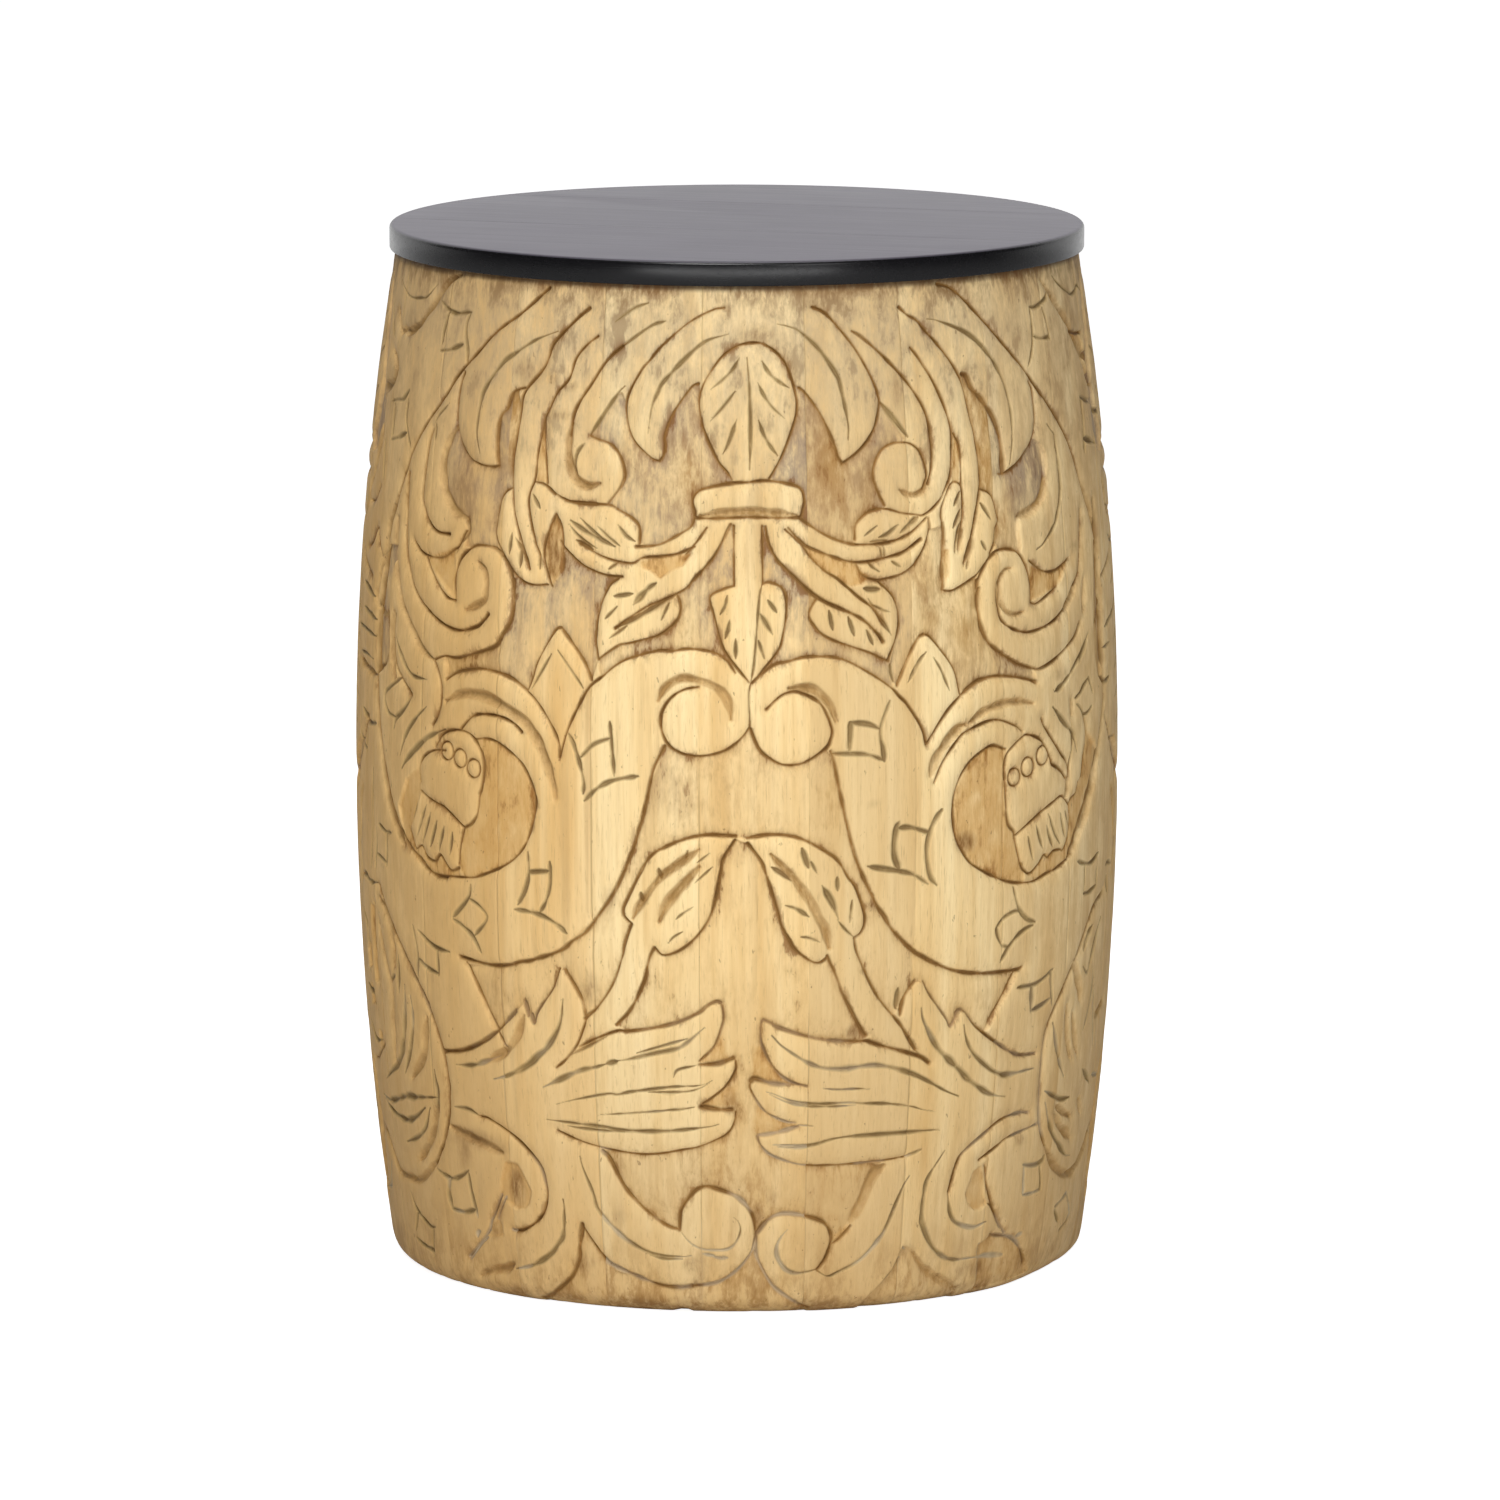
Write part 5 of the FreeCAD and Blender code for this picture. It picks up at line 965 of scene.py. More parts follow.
def divide(radius, settings):
    """Quads over a stave's grid, coarse where it is even and fine where it is carved, and joined without
    gaps: a quad takes in the middle of a side where its neighbour is divided there."""
    stride = ACROSS + 1
    split = {8: uneven(radius, 8, settings.grain_8 * 1000), 4: uneven(radius, 4, settings.grain_4 * 1000),
             2: uneven(radius, 2, settings.grain_2 * 1000)}
    split[4] |= round_about(split[2])
    split[8] |= round_about(split[4])
    inside = np.ones_like(split[8])
    quads = []
    for size in (8, 4, 2, 1):
        if size > 1:
            split[size] &= inside
            leaf = inside & ~split[size]
        else:
            leaf = inside
        jz, jx = np.nonzero(leaf)
        a, b = jz * size * stride + jx * size, (jz + 1) * size * stride + jx * size
        middles = [np.full(len(jz), -1)] * 4
        if size > 1:
            big, half = np.pad(split[size], 1), size // 2
            below, above = big[jz, jx + 1], big[jz + 2, jx + 1]
            west, east = big[jz + 1, jx], big[jz + 1, jx + 2]
            middles = [np.where(below, a + half, -1), np.where(east, a + size + half * stride, -1),
                       np.where(above, b + half, -1), np.where(west, a + half * stride, -1)]
            inside = np.repeat(np.repeat(split[size], 2, 0), 2, 1)
        corners = (a, a + size, b + size, b)
        quads.append(np.stack([part for pair in zip(corners, middles) for part in pair], 1))
    quads = np.concatenate(quads)
    return quads[quads >= 0], (quads >= 0).sum(1)


def stave_mesh(name, index, relief, settings):
    """One carved stave as a closed mesh: fine faces where it is carved, coarse ones elsewhere."""
    carved, masks = relief
    left = SEAM_0 + index * STAVE_W
    s = left + np.arange(ACROSS + 1) * STAVE_W / ACROSS
    z = np.arange(UPWARD + 1) * HEIGHT / UPWARD
    gx = np.clip((s - SEAM_0) * PX, 0, carved.shape[1] - 1.001)
    gz = np.clip(z * PX, 0, carved.shape[0] - 1.001)
    ix, iz = gx.astype(int), gz.astype(int)
    fx, fz = gx - ix, (gz - iz)[:, None]

    def sample(grid):
        return ((grid[iz][:, ix] * (1 - fx) + grid[iz][:, ix + 1] * fx) * (1 - fz)
                + (grid[iz + 1][:, ix] * (1 - fx) + grid[iz + 1][:, ix + 1] * fx) * fz)

    depth = sample(carved)
    edge = np.minimum(s - s[0], s[-1] - s)
    # the seam opens and closes along the stave
    open_here = waves((UPWARD + 1, ACROSS + 1), SEAM_WAVE, 31 + index, UPWARD / HEIGHT)[:, :1]
    open_here = np.clip(.62 + .5 * open_here, .2, 1)
    seam = settings.seam_depth * 1000 * np.clip(1 - edge / SEAM_DIP, 0, 1) * open_here
    radius = np.maximum(turned_radius(z)[:, None] - depth - seam, INNER + 2)
    flat, counts = divide(radius, settings)
    used = np.unique(flat)
    n = len(used)
    number = np.full(radius.size, -1)
    number[used] = np.arange(n)
    rows, cols = np.divmod(used, ACROSS + 1)
    angle = s[cols] / BELLY_R
    rad = radius[rows, cols]
    outer = np.stack([rad * np.sin(angle), -rad * np.cos(angle), z[rows]], 1)
    ends = np.array([s[0], s[-1]]) / BELLY_R
    far = INNER / math.cos(math.pi / STAVES)
    inner = np.array([[far * math.sin(e), -far * math.cos(e), h] for h in (0, HEIGHT) for e in ends])
    verts = np.concatenate([outer, inner]) / 1000
    left_foot, right_foot, left_head, right_head = range(n, n + 4)
    on_left, on_right = number[used[cols == 0]], number[used[cols == ACROSS]]
    on_foot, on_head = number[used[rows == 0]], number[used[rows == UPWARD]]
    closing = [
        [*on_left, left_head, left_foot], [*on_right[::-1], right_foot, right_head],
        [*on_head, right_head, left_head], [*on_foot[::-1], left_foot, right_foot],
        [left_foot, left_head, right_head, right_foot],
    ]
    loops = np.concatenate([number[flat], *[np.array(face) for face in closing]]).astype(np.int32)
    counts = np.concatenate([counts, [len(face) for face in closing]]).astype(np.int32)
    starts = np.concatenate([[0], np.cumsum(counts)[:-1]]).astype(np.int32)
    mesh = bpy.data.meshes.new(name)
    mesh.vertices.add(len(verts))
    mesh.vertices.foreach_set("co", verts.astype(np.float32).ravel())
    mesh.loops.add(len(loops))
    mesh.loops.foreach_set("vertex_index", loops)
    mesh.polygons.add(len(counts))
    mesh.polygons.foreach_set("loop_start", starts)
    mesh.polygons.foreach_set("loop_total", counts)
    for key, mask in masks.items():
        grid = sample(mask)
        if key == "groove":
            dark = .62 * np.clip(1 - edge / SEAM_LINE, 0, 1) * np.clip(open_here * 1.4 - .4, 0, 1)
            grid = np.maximum(grid, dark)
        layer = mesh.attributes.new(key, "FLOAT", "POINT")
        layer.data.foreach_set("value", np.concatenate([grid[rows, cols], np.zeros(4)]).astype(np.float32))
    mesh.update(calc_edges=True)
    mesh.polygons.foreach_set("use_smooth", np.ones(len(counts), bool))
    mesh.set_sharp_from_angle(angle=math.radians(58))
    mesh.validate()
    return mesh


# ---------------------------------------------------------------- finishes
def srgb(r, g, b):
    """A colour as written in a picture, 0 to 255, in the shader's own units."""
    return tuple((v / 255 / 12.92) if v / 255 <= .04045 else ((v / 255 + .055) / 1.055) ** 2.4 for v in (r, g, b))


class Wiring:
    """Short ways to add and join a tree's nodes. A value is a number, a colour or another node's output."""

    def __init__(self, tree):
        self.nodes, self.links = tree.nodes, tree.links

    def put(self, socket, value):
        """Gives a value to a socket."""
        if isinstance(value, bpy.types.NodeSocket):
            self.links.new(value, socket)
        elif socket.type == "RGBA":
            socket.default_value = (*value, 1)
        else:
            socket.default_value = value

    def add(self, kind, inputs=(), output=0, **options):
        """Adds a node with those inputs and options, and gives its output."""
        node = self.nodes.new(kind)
        for name, option in options.items():
            setattr(node, name, option)
        for key, value in dict(inputs).items():
            self.put(node.inputs[key], value)
        return node.outputs[output]

    def maths(self, kind, a, b=0, clamp=False):
        return self.add("ShaderNodeMath", {0: a, 1: b}, operation=kind, use_clamp=clamp)

    def times(self, *values):
        """The product of values from 0 to 1, kept in that range."""
        return reduce(lambda a, b: self.maths("MULTIPLY", a, b, True), values)

    def plus(self, *values):
        """The sum of values, kept from 0 to 1."""
        return reduce(lambda a, b: self.maths("ADD", a, b, True), values)

    def weigh(self, *parts):
        """The sum of values, each times its weight, in no bounds."""
        return reduce(lambda a, b: self.maths("ADD", a, b), [self.maths("MULTIPLY", *part) for part in parts])

    def between(self, value, low, high):
        """0 below low, 1 above high, and even in between."""
        return self.add("ShaderNodeMapRange", {"From Min": low, "From Max": high, "Value": value})

    def mix(self, factor, a, b):
        return self.add("ShaderNodeMix", {0: factor, 6: a, 7: b}, 2, data_type="RGBA")

    def ramp(self, value, *stops):
        """The grey or colour that the stops give for a value."""
        node = self.nodes.new("ShaderNodeValToRGB")
        for _ in stops[2:]:
            node.color_ramp.elements.new(.5)
        for element, (at, colour) in zip(node.color_ramp.elements, stops):
            element.position = at
            element.color = (*colour, 1) if isinstance(colour, tuple) else (colour, colour, colour, 1)
        self.put(node.inputs[0], value)
        return node.outputs[0]

    def mapping(self, vector, scale, turn=(0, 0, 0)):
        return self.add("ShaderNodeMapping", {"Vector": vector, "Rotation": turn, "Scale": scale})

    def noise(self, vector, scale, detail, rough=.5, distortion=0.0):
        return self.add("ShaderNodeTexNoise", {"Vector": vector, "Scale": scale, "Detail": detail,
                                               "Roughness": rough, "Distortion": distortion})

    def attribute(self, name):
        return self.add("ShaderNodeAttribute", output="Fac", attribute_name=name)

    def split(self, vector):
        """The X, Y and Z of a vector."""
        node = self.nodes.new("ShaderNodeSeparateXYZ")
        self.put(node.inputs[0], vector)
        return tuple(node.outputs)

    def join(self, x=0, y=0, z=0):
        return self.add("ShaderNodeCombineXYZ", {0: x, 1: y, 2: z})


def grain_group():
    """Long streaks along one axis, for all the woods: broad bands, fine lines and short pores."""
    tree = bpy.data.node_groups.get("wood grain")
    if tree is None:
        streaks = {"Bands": ((55, 55, 3.2), 4, .6, .4), "Lines": ((430, 430, 11), 4, .68, .25),
                   "Pores": ((1300, 1300, 95), 2, .6)}
        tree = bpy.data.node_groups.new("wood grain", "ShaderNodeTree")
        tree.interface.new_socket("Along grain", in_out="INPUT", socket_type="NodeSocketVector")
        for label in streaks:
            tree.interface.new_socket(label, in_out="OUTPUT", socket_type="NodeSocketFloat")
        w = Wiring(tree)
        start, end = w.nodes.new("NodeGroupInput"), w.nodes.new("NodeGroupOutput")
        for label, (scale, *texture) in streaks.items():
            w.put(end.inputs[label], w.noise(w.mapping(start.outputs[0], scale), 1.0, *texture))
    return tree


class Finish(Wiring):
    """A material, wired up from its colour to its fine relief."""

    def __init__(self, name):
        self.material = bpy.data.materials.new(name)
        self.material.use_nodes = True
        super().__init__(self.material.node_tree)
        self.shader = next(n for n in self.nodes if n.type == "BSDF_PRINCIPLED")
        self.place = self.add("ShaderNodeTexCoord", output="Object")

    def grain(self, vector):
        """The wood's bands, lines and pores, with the grain along the vector's Z."""
        node = self.nodes.new("ShaderNodeGroup")
        node.node_tree = grain_group()
        self.put(node.inputs[0], vector)
        return tuple(node.outputs)

    def coat(self, factor, colour):
        """Lays a colour over what is there, as far as the factor says."""
        self.colour = self.mix(factor, self.colour, colour)

    def close(self, rough, relief, strength, distance, **constants):
        """Joins all to the shader, with a bump of that strength and distance in metres."""
        bump = self.add("ShaderNodeBump", {"Strength": strength, "Distance": distance, "Height": relief})
        values = {"Base Color": self.colour, "Roughness": rough, "Normal": bump}
        values.update({name.replace("_", " "): value for name, value in constants.items()})
        for name, value in values.items():
            self.put(self.shader.inputs[name], value)
        return self.material


# The tones laid over the carved wood: most are age, dirt and handling, but the sides' gold, the shade low on the drum,
# the shadow line and part of the darkness beside the forms and in the cuts are painted shade
TONES = {
    "dark board": (204, 166, 106), "warm board": (224, 172, 96), "cool board": (218, 198, 158),
    "dark streak": (198, 164, 112), "grain line": (194, 156, 102), "pore": (156, 122, 78),
    "aged grey": (174, 153, 120), "aged blot": (152, 126, 90), "painted side shade": (186, 146, 88),
    "dirt and painted shade beside a form": (146, 106, 56), "dark spot": (126, 82, 38), "dirt in a recess": (146, 100, 48),
    "under the top": (132, 98, 56), "shadow line": (70, 48, 28), "painted shade low down": (180, 144, 92),
    "foot": (150, 112, 62), "deepest cut": (104, 74, 40), "lime": (206, 190, 160),
    "stain": (116, 78, 40), "speck": (112, 78, 42), "paint line": (18, 17, 20), "ring line": (138, 100, 60),
}
# The heights in metres from which a tone comes in and at which it is full
HEIGHTS = {
    "aged grey": (.36, .47), "aged blot": (.38, .45), "upper half": (.2, .42), "lower part": (.16, .07),
    "under the top": (.478, .497), "shadow line": (.4945, .497), "painted shade low down": (.19, .03), "foot": (.045, 0),
    "limed": (.17, .08), "upper face": (.5090, .5099),
}
SIDES = (.1, .175)        # and the distances to the left and right
BOARD_SHIFT = (3.7, 5.3, 9.1)     # sets each board's grain apart from the next one's


def carved_wood(settings):
    """Pale stripped wood: streaked along each stave, with old dirt and painted shade beside the forms and in the cuts,
    and painted shade at the sides and low on the drum.
    """
    f = Finish("carved wood, stripped")
    times, plus, weigh, between = f.times, f.plus, f.weigh, f.between
    tone, warm, groove, ground, near, pit, amber, stain = (
        f.attribute(name) for name in ("board", "warmth", "groove", "ground", "near", "recess", "amber", "stain"))
    shift = f.join(*(f.maths("MULTIPLY", tone, far) for far in BOARD_SHIFT))
    own = f.add("ShaderNodeVectorMath", {0: f.place, 1: shift})
    bands, lines, pores = f.grain(own)
    sideways, _, up = f.split(f.place)

    def cloud(scale, detail=4, rough=.6):
        return f.noise(f.mapping(own, scale), 1.0, detail, rough, .3)

    def tint(factor, name):
        f.coat(factor, srgb(*TONES[name]))

    def rise(name):
        return between(up, *HEIGHTS[name])

    blot, streak, patch = cloud((75, 75, 42)), cloud((420, 420, 110), 4, .7), cloud((17, 17, 10), 2)
    mottle = weigh((blot, .6), (streak, .4))
    f.colour = f.ramp(bands, (.3, tuple(settings.wood_dark)), (.48, tuple(settings.wood)),
                      (.66, tuple(settings.wood_pale)))
    tint(times(between(tone, .5, 0), .8), "dark board")
    tint(times(between(warm, .5, 1), .6), "warm board")
    tint(times(between(warm, .5, 0), .5), "cool board")
    long_streaks = between(cloud((130, 130, 4.5), 3, .55), .52, .7)
    tint(times(long_streaks, between(patch, .4, .6), .6), "dark streak")
    tint(times(between(lines, .46, .74), .3), "grain line")
    tint(times(between(pores, .58, .74), .34), "pore")

    # greyer towards the top; and painted shade, golden and darker, on the sides to the left and right of the front
    tint(times(rise("aged grey"), plus(times(between(mottle, .4, .6), .55), .25)), "aged grey")
    blots = between(weigh((blot, .75), (streak, .25)), .545, .62)
    tint(times(rise("aged blot"), blots, .6), "aged blot")
    # painted shade: the staves turn golden and darker where they face away to the left and right
    aside = between(f.maths("ABSOLUTE", sideways), *SIDES)
    tint(times(aside, plus(between(mottle, .42, .6), .3), .5), "painted side shade")

    # old dirt: over the ground, more so in the upper half and near the foot; beside the forms, dirt together with
    # painted shade where the ground meets them
    high, low = rise("upper half"), rise("lower part")
    dirt = f.mix(times(between(patch, .36, .56), plus(high, .25)),
                 tuple(settings.dirt_warm), tuple(settings.dirt_grey))
    film = times(ground, plus(times(high, .56), times(low, .35), .06))
    f.coat(times(film, between(mottle, .3, .58)), dirt)
    level = weigh((mottle, 1), (near, .13), (ground, .04), (high, .03))
    reach = plus(ground, times(near, .6))
    f.coat(times(between(level, .55, .68), reach, plus(times(high, .45), times(low, .45), .2)), dirt)
    # dirt with painted shade: darker on the ground close to each form's outline
    beside = times(near, near, plus(times(ground, .8), .15))
    tint(times(beside, plus(between(mottle, .4, .6), .2), plus(times(high, .4), .62)), "dirt and painted shade beside a form")
    spots = between(weigh((mottle, 1), (near, .12), (patch, .1)), .66, .72)
    tint(times(spots, plus(times(ground, .7), near), .75), "dark spot")

    # the stained recesses, and the wide gouges in an amber tone with painted shade
    f.coat(times(pit, .75, plus(between(mottle, .36, .6), .25)), tuple(settings.recess_wood))
    tint(times(pit, between(weigh((mottle, 1), (near, .12)), .56, .7)), "dirt in a recess")
    # painted shade with an amber tone inside the wide gouges
    f.coat(times(amber, plus(times(between(mottle, .36, .6), .7), .35)), tuple(settings.gouge_wood))

    # under the top: a mottled brown band and a painted shadow line; lower down, painted shade that darkens towards the
    # foot; and a mottled darkening along the foot
    under = rise("under the top")
    tint(times(under, between(plus(mottle, times(under, .08)), .5, .62), .75), "under the top")
    tint(times(rise("shadow line"), .8), "shadow line")
    # painted shade: the lower drum darker towards the foot, where the light falls off
    tint(times(rise("painted shade low down"), .46), "painted shade low down")
    tint(times(rise("foot"), between(mottle, .46, .6), .7), "foot")

    # the bottoms of the cuts: tan to brown and dark in places, old stain with painted shade that is darkest in the
    # deepest cuts, and limed in long stretches near the foot
    deep = between(groove, .1, .8)
    bottom = f.mix(near, tuple(settings.cut_grey), tuple(settings.cut_warm))
    f.coat(times(deep, plus(between(blot, .2, .55), .4), .9), bottom)
    # painted shade with old stain in the deepest part of the cuts
    tint(times(between(deep, .85, 1), between(blot, .36, .6), .45), "deepest cut")
    limed = times(between(cloud((26, 26, 20), 2), .52, .6), rise("limed"))
    tint(times(deep, limed, .5), "lime")

    # stains, specks and worm marks
    tint(times(stain, between(mottle, .34, .62)), "stain")
    tint(times(between(cloud((420, 420, 240), 2), .7, .76), .5), "speck")
    return f.close(f.ramp(lines, (.3, .56), (.7, .74)), weigh((lines, .6), (pores, .4)), .4, .0007,
                   Specular_IOR_Level=.18)


def black_top(settings):
    """Black paint on grained boards, satin at the rim; the upper face is lighter grey, dusty paint together with a
    painted sheen.
    """
    f = Finish("black paint on the top")
    along, across, up = f.split(f.mapping(f.place, (1, 1, 1), (0, 0, math.radians(-GRAIN))))
    bands, lines, pores = f.grain(f.join(across, up, along))
    f.colour = f.ramp(bands, (.3, tuple(settings.paint_dark)), (.7, tuple(settings.paint)))
    f.coat(f.maths("MULTIPLY", lines, .2), srgb(*TONES["paint line"]))
    face = f.between(f.split(f.place)[2], *HEIGHTS["upper face"])
    dust_and_sheen = f.noise(f.mapping(f.place, (26, 26, 26)), 1.0, 5, .6, .4)
    # dust with painted sheen: the upper face is made lighter than the rim
    f.coat(face, f.mix(f.weigh((dust_and_sheen, .5), (lines, .5)), tuple(settings.dark_dust_and_sheen), tuple(settings.dust_and_sheen)))
    rough = f.weigh((f.ramp(lines, (.3, .22), (.7, .3)), 1), (face, .16))
    return f.close(rough, f.weigh((lines, .7), (pores, .3)), .09, .0003, Specular_IOR_Level=.33)


def ring_wood(settings):
    """Plain sawn wood for the rings inside."""
    f = Finish("sawn ring wood")
    bands, lines, pores = f.grain(f.mapping(f.place, (1, 1, 1), (math.radians(90), 0, math.radians(30))))
    f.colour = f.ramp(bands, (.3, tuple(settings.ring_dark)), (.7, tuple(settings.ring_pale)))
    f.coat(f.maths("MULTIPLY", lines, .4), srgb(*TONES["ring line"]))
    return f.close(f.ramp(pores, (.3, .62), (.7, .8)), lines, .3, .0005)


def screw_steel(settings):
    """Zinc-plated steel with a dull patina."""
    f = Finish("plated screw steel")
    patina = f.noise(f.place, 900, 4, .6)
    f.colour = f.ramp(patina, (.35, tuple(settings.plating_dull)), (.65, tuple(settings.plating)))
    return f.close(f.ramp(patina, (.3, .28), (.7, .5)), patina, .1, .0002, Metallic=1.0)


FINISHES = {"carved_wood": carved_wood, "black_top": black_top, "ring_wood": ring_wood, "screw_steel": screw_steel}


def finish(slot, settings):
    """The material for a slot, made once."""
    made = bpy.data.materials.get(f"slot {slot}")
    if made is None:
        made = FINISHES[slot](settings)
        made.name = f"slot {slot}"
    return made


def add_piece(name, mesh, slot, node, settings):
    """Puts a mesh in the scene in place of one of the frame's nodes."""
    obj = bpy.data.objects.new(name, mesh)
    bpy.context.scene.collection.objects.link(obj)
    mesh.materials.clear()
    mesh.materials.append(finish(slot, settings))
    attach(obj, "root")
    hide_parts(node)


# ---------------------------------------------------------------- settings and operators
def colour_setting(name, description, r, g, b):
    """A colour that a user may change, written 0 to 255."""
    return FloatVectorProperty(name=name, description=description, default=srgb(r, g, b),
                               size=3, min=0, max=1, subtype="COLOR")


def length_setting(name, description, default, precision=4):
    """A length that a user may change, in metres."""
    return FloatProperty(name=name, description=description, default=default, unit="LENGTH", precision=precision)


class DrumTableSettings(bpy.types.PropertyGroup):
    """Sizes and colours of the carving and the top that a user would change."""

    cut_depth: FloatProperty(
        name="Cut depth", description="How deep the outlines and veins go, against the tool's own depth",
        default=1.0, min=.2, max=1.6, subtype="FACTOR")
    ground_depth: length_setting("Ground at a form", "Depth of the ground beside a raised form", .0025)
    ground_middle: length_setting("Ground between forms", "Depth of the ground far from a form", .0011)
    rounding: length_setting("Rounding", "How far a raised form's edge is rounded over", .0015)
    seam_depth: length_setting("Seam depth", "Depth of the fine line where two staves meet", .00035, 5)
    grain_8: length_setting(
        "Coarse tolerance", "A coarse face is divided where the carving leaves it by more", .00007, 5)
    grain_4: length_setting("Middle tolerance", "The same for a face of half that size", .00009, 5)
    grain_2: length_setting("Fine tolerance", "The same for a face of a quarter", .00013, 5)
    rim_round: length_setting("Rim rounding", "Rounding of the top's edge", .0022)
    wood_dark: colour_setting("Darker wood", "The darker streaks of the stripped wood", 222, 185, 124)
    wood: colour_setting("Wood", "The stripped wood's middle tone", 238, 208, 151)
    wood_pale: colour_setting("Pale wood", "The palest streaks of the stripped wood", 246, 221, 168)
    dirt_warm: colour_setting("Warm dirt", "Old brown dirt left on the ground of the carving", 168, 124, 62)
    dirt_grey: colour_setting("Grey dirt", "Old grey dirt left on the ground of the carving", 146, 126, 106)
    recess_wood: colour_setting("Recess", "The stained wood of the round recesses", 200, 154, 88)
    gouge_wood: colour_setting("Gouge", "The shaded wood of the wide gouges", 168, 134, 82)
    cut_warm: colour_setting("Warm cut", "The bottom of the cuts round the forms", 142, 102, 48)
    cut_grey: colour_setting("Grey cut", "The bottom of the veins and scored lines", 146, 122, 78)
    paint: colour_setting("Paint", "The black paint", 9, 8, 11)
    paint_dark: colour_setting("Darker paint", "The black paint's darker streaks", 5, 5, 7)
    # dust on the top's upper face together with a painted sheen, lighter than the rim
    dust_and_sheen: colour_setting("Rubbed paint", "The dusty paint on the top's upper face", 103, 98, 109)
    dark_dust_and_sheen: colour_setting("Darker rubbed paint", "The darker patches of the upper face", 77, 73, 82)
    ring_pale: colour_setting("Ring wood", "The sawn wood of the rings inside", 205, 170, 122)
    ring_dark: colour_setting("Darker ring wood", "The darker streaks of the rings' wood", 170, 130, 84)
    plating: colour_setting("Plating", "The screws' bright plating", 196, 194, 186)
    plating_dull: colour_setting("Dull plating", "The screws' dull plating", 150, 146, 134)
    rim_steps: IntProperty(name="Rim steps", description="Points round the top's rim", default=288, min=48, max=720)
    screw_sides: IntProperty(
        name="Screw sides", description="Sides of a screw's round parts", default=10, min=6, max=24)


class DRUM_OT_carve_staves(bpy.types.Operator):
    """Carve the staves all round with foliage"""

    bl_idname = "drum.carve_staves"
    bl_label = "Carve the staves"

    def execute(self, context):
        settings = context.scene.drum_table
        relief = carve(settings)
        for index in range(DRAWN):
            front = (index - LEFT_STAVES) % STAVES + 1
            back = (front + DRAWN - 1) % STAVES + 1
            mesh = stave_mesh(f"carved_stave_{front:02d}", index, relief, settings)
            turned = mesh.copy()
            turned.name = f"carved_stave_{back:02d}"
            turned.transform(Matrix.Rotation(math.pi, 4, "Z"))
            # the back has the same carving in other boards
            for stave, made, board in ((front, mesh, index), (back, turned, (index * 3 + 4) % DRAWN)):
                for key, values in (("board", BOARD_TONES), ("warmth", BOARD_WARMTH)):
                    layer = made.attributes.new(key, "FLOAT", "POINT")
                    layer.data.foreach_set("value", np.full(len(made.vertices), values[board], np.float32))
                add_piece(f"carved_stave_{stave:02d}", made, "carved_wood", f"stave_{stave:02d}", settings)
        return {"FINISHED"}


RIM_FOOT = ((1.0, 0), (.35, .25), (.05, .9))    # the rim's small under edge: how far in, how far up, in mm
RIM_BENDS = 6             # steps round the rim's upper edge
SEAM_STEPS = 12           # steps along a glue line
SEAM_EASE = .18           # how far a glue line is eased at the upper face, in mm
SHARP_RIM = 40            # edges bent more than this, in degrees, stay sharp


def board_mesh(name, low, high, settings):
    """One board of the round top, between two glue lines, with its part of the rounded rim."""
    bm = bmesh.new()
    r = settings.rim_round * 1000
    layers = [(TOP_R - inwards, 0, TOP_Z0 + up) for inwards, up in RIM_FOOT]
    for k in range(RIM_BENDS + 1):
        a = math.pi / 2 * k / RIM_BENDS
        layers.append((TOP_R - r * (1 - math.cos(a)), SEAM_EASE * k / RIM_BENDS, TOP_Z1 - r * (1 - math.sin(a))))
    turn = Matrix.Rotation(math.radians(GRAIN), 4, "Z")
    n = settings.rim_steps // 4
    rings = []
    for radius, inset, z in layers:
        lo = -radius if low is None else low + inset
        hi = radius if high is None else high - inset
        a0, a1 = math.asin(max(-1, lo / radius)), math.asin(min(1, hi / radius))
        arc = [a0 + (a1 - a0) * i / n for i in range(n + 1)]
        right = [(radius * math.cos(a), radius * math.sin(a)) for a in arc]
        left = [(-x, y) for x, y in reversed(right)]
        points = list(right)
        if high is not None:
            x = right[-1][0]
            points += [(x * (1 - 2 * i / SEAM_STEPS), hi) for i in range(1, SEAM_STEPS + 1)]
        points += left[1:]
        if low is not None:
            x = right[0][0]
            points += [(-x * (1 - 2 * i / SEAM_STEPS), lo) for i in range(1, SEAM_STEPS)]
        else:
            points.pop()
        rings.append([bm.verts.new(turn @ Vector((x / 1000, y / 1000, z / 1000))) for x, y in points])
    for lower, upper in zip(rings, rings[1:]):
        for i in range(len(lower)):
            j = (i + 1) % len(lower)
            bm.faces.new((lower[i], lower[j], upper[j], upper[i]))
    bm.faces.new(rings[0][::-1])
    bm.faces.new(rings[-1])
    bmesh.ops.recalc_face_normals(bm, faces=bm.faces)
    for face in bm.faces:
        face.smooth = True
    mesh = bpy.data.meshes.new(name)
    bm.to_mesh(mesh)
    bm.free()
    mesh.set_sharp_from_angle(angle=math.radians(SHARP_RIM))
    return mesh


class DRUM_OT_glue_top(bpy.types.Operator):
    """Glue up the round top from its boards and round its rim"""

    bl_idname = "drum.glue_top"
    bl_label = "Glue up the top"

    def execute(self, context):
        settings = context.scene.drum_table
        for name, low, high in zip(TOP_BOARDS, (None, *TOP_SEAMS), (*TOP_SEAMS, None)):
            mesh = board_mesh(f"painted_{name}", low, high, settings)
            add_piece(f"painted_{name}", mesh, "black_top", name, settings)
        return {"FINISHED"}


# Name, how many, distance of the head from the axis, height of the head, first angle, length, upright
SCREWS = (
    ("foot_ring_screws", 22, .118, .017, FRONT - 90, .0403, False),
    ("mouth_ring_screws", 22, .118, .489, FRONT - 90, .0403, False),
    ("top_screws", 11, .132, .480, -95.48, .0252, True),
)
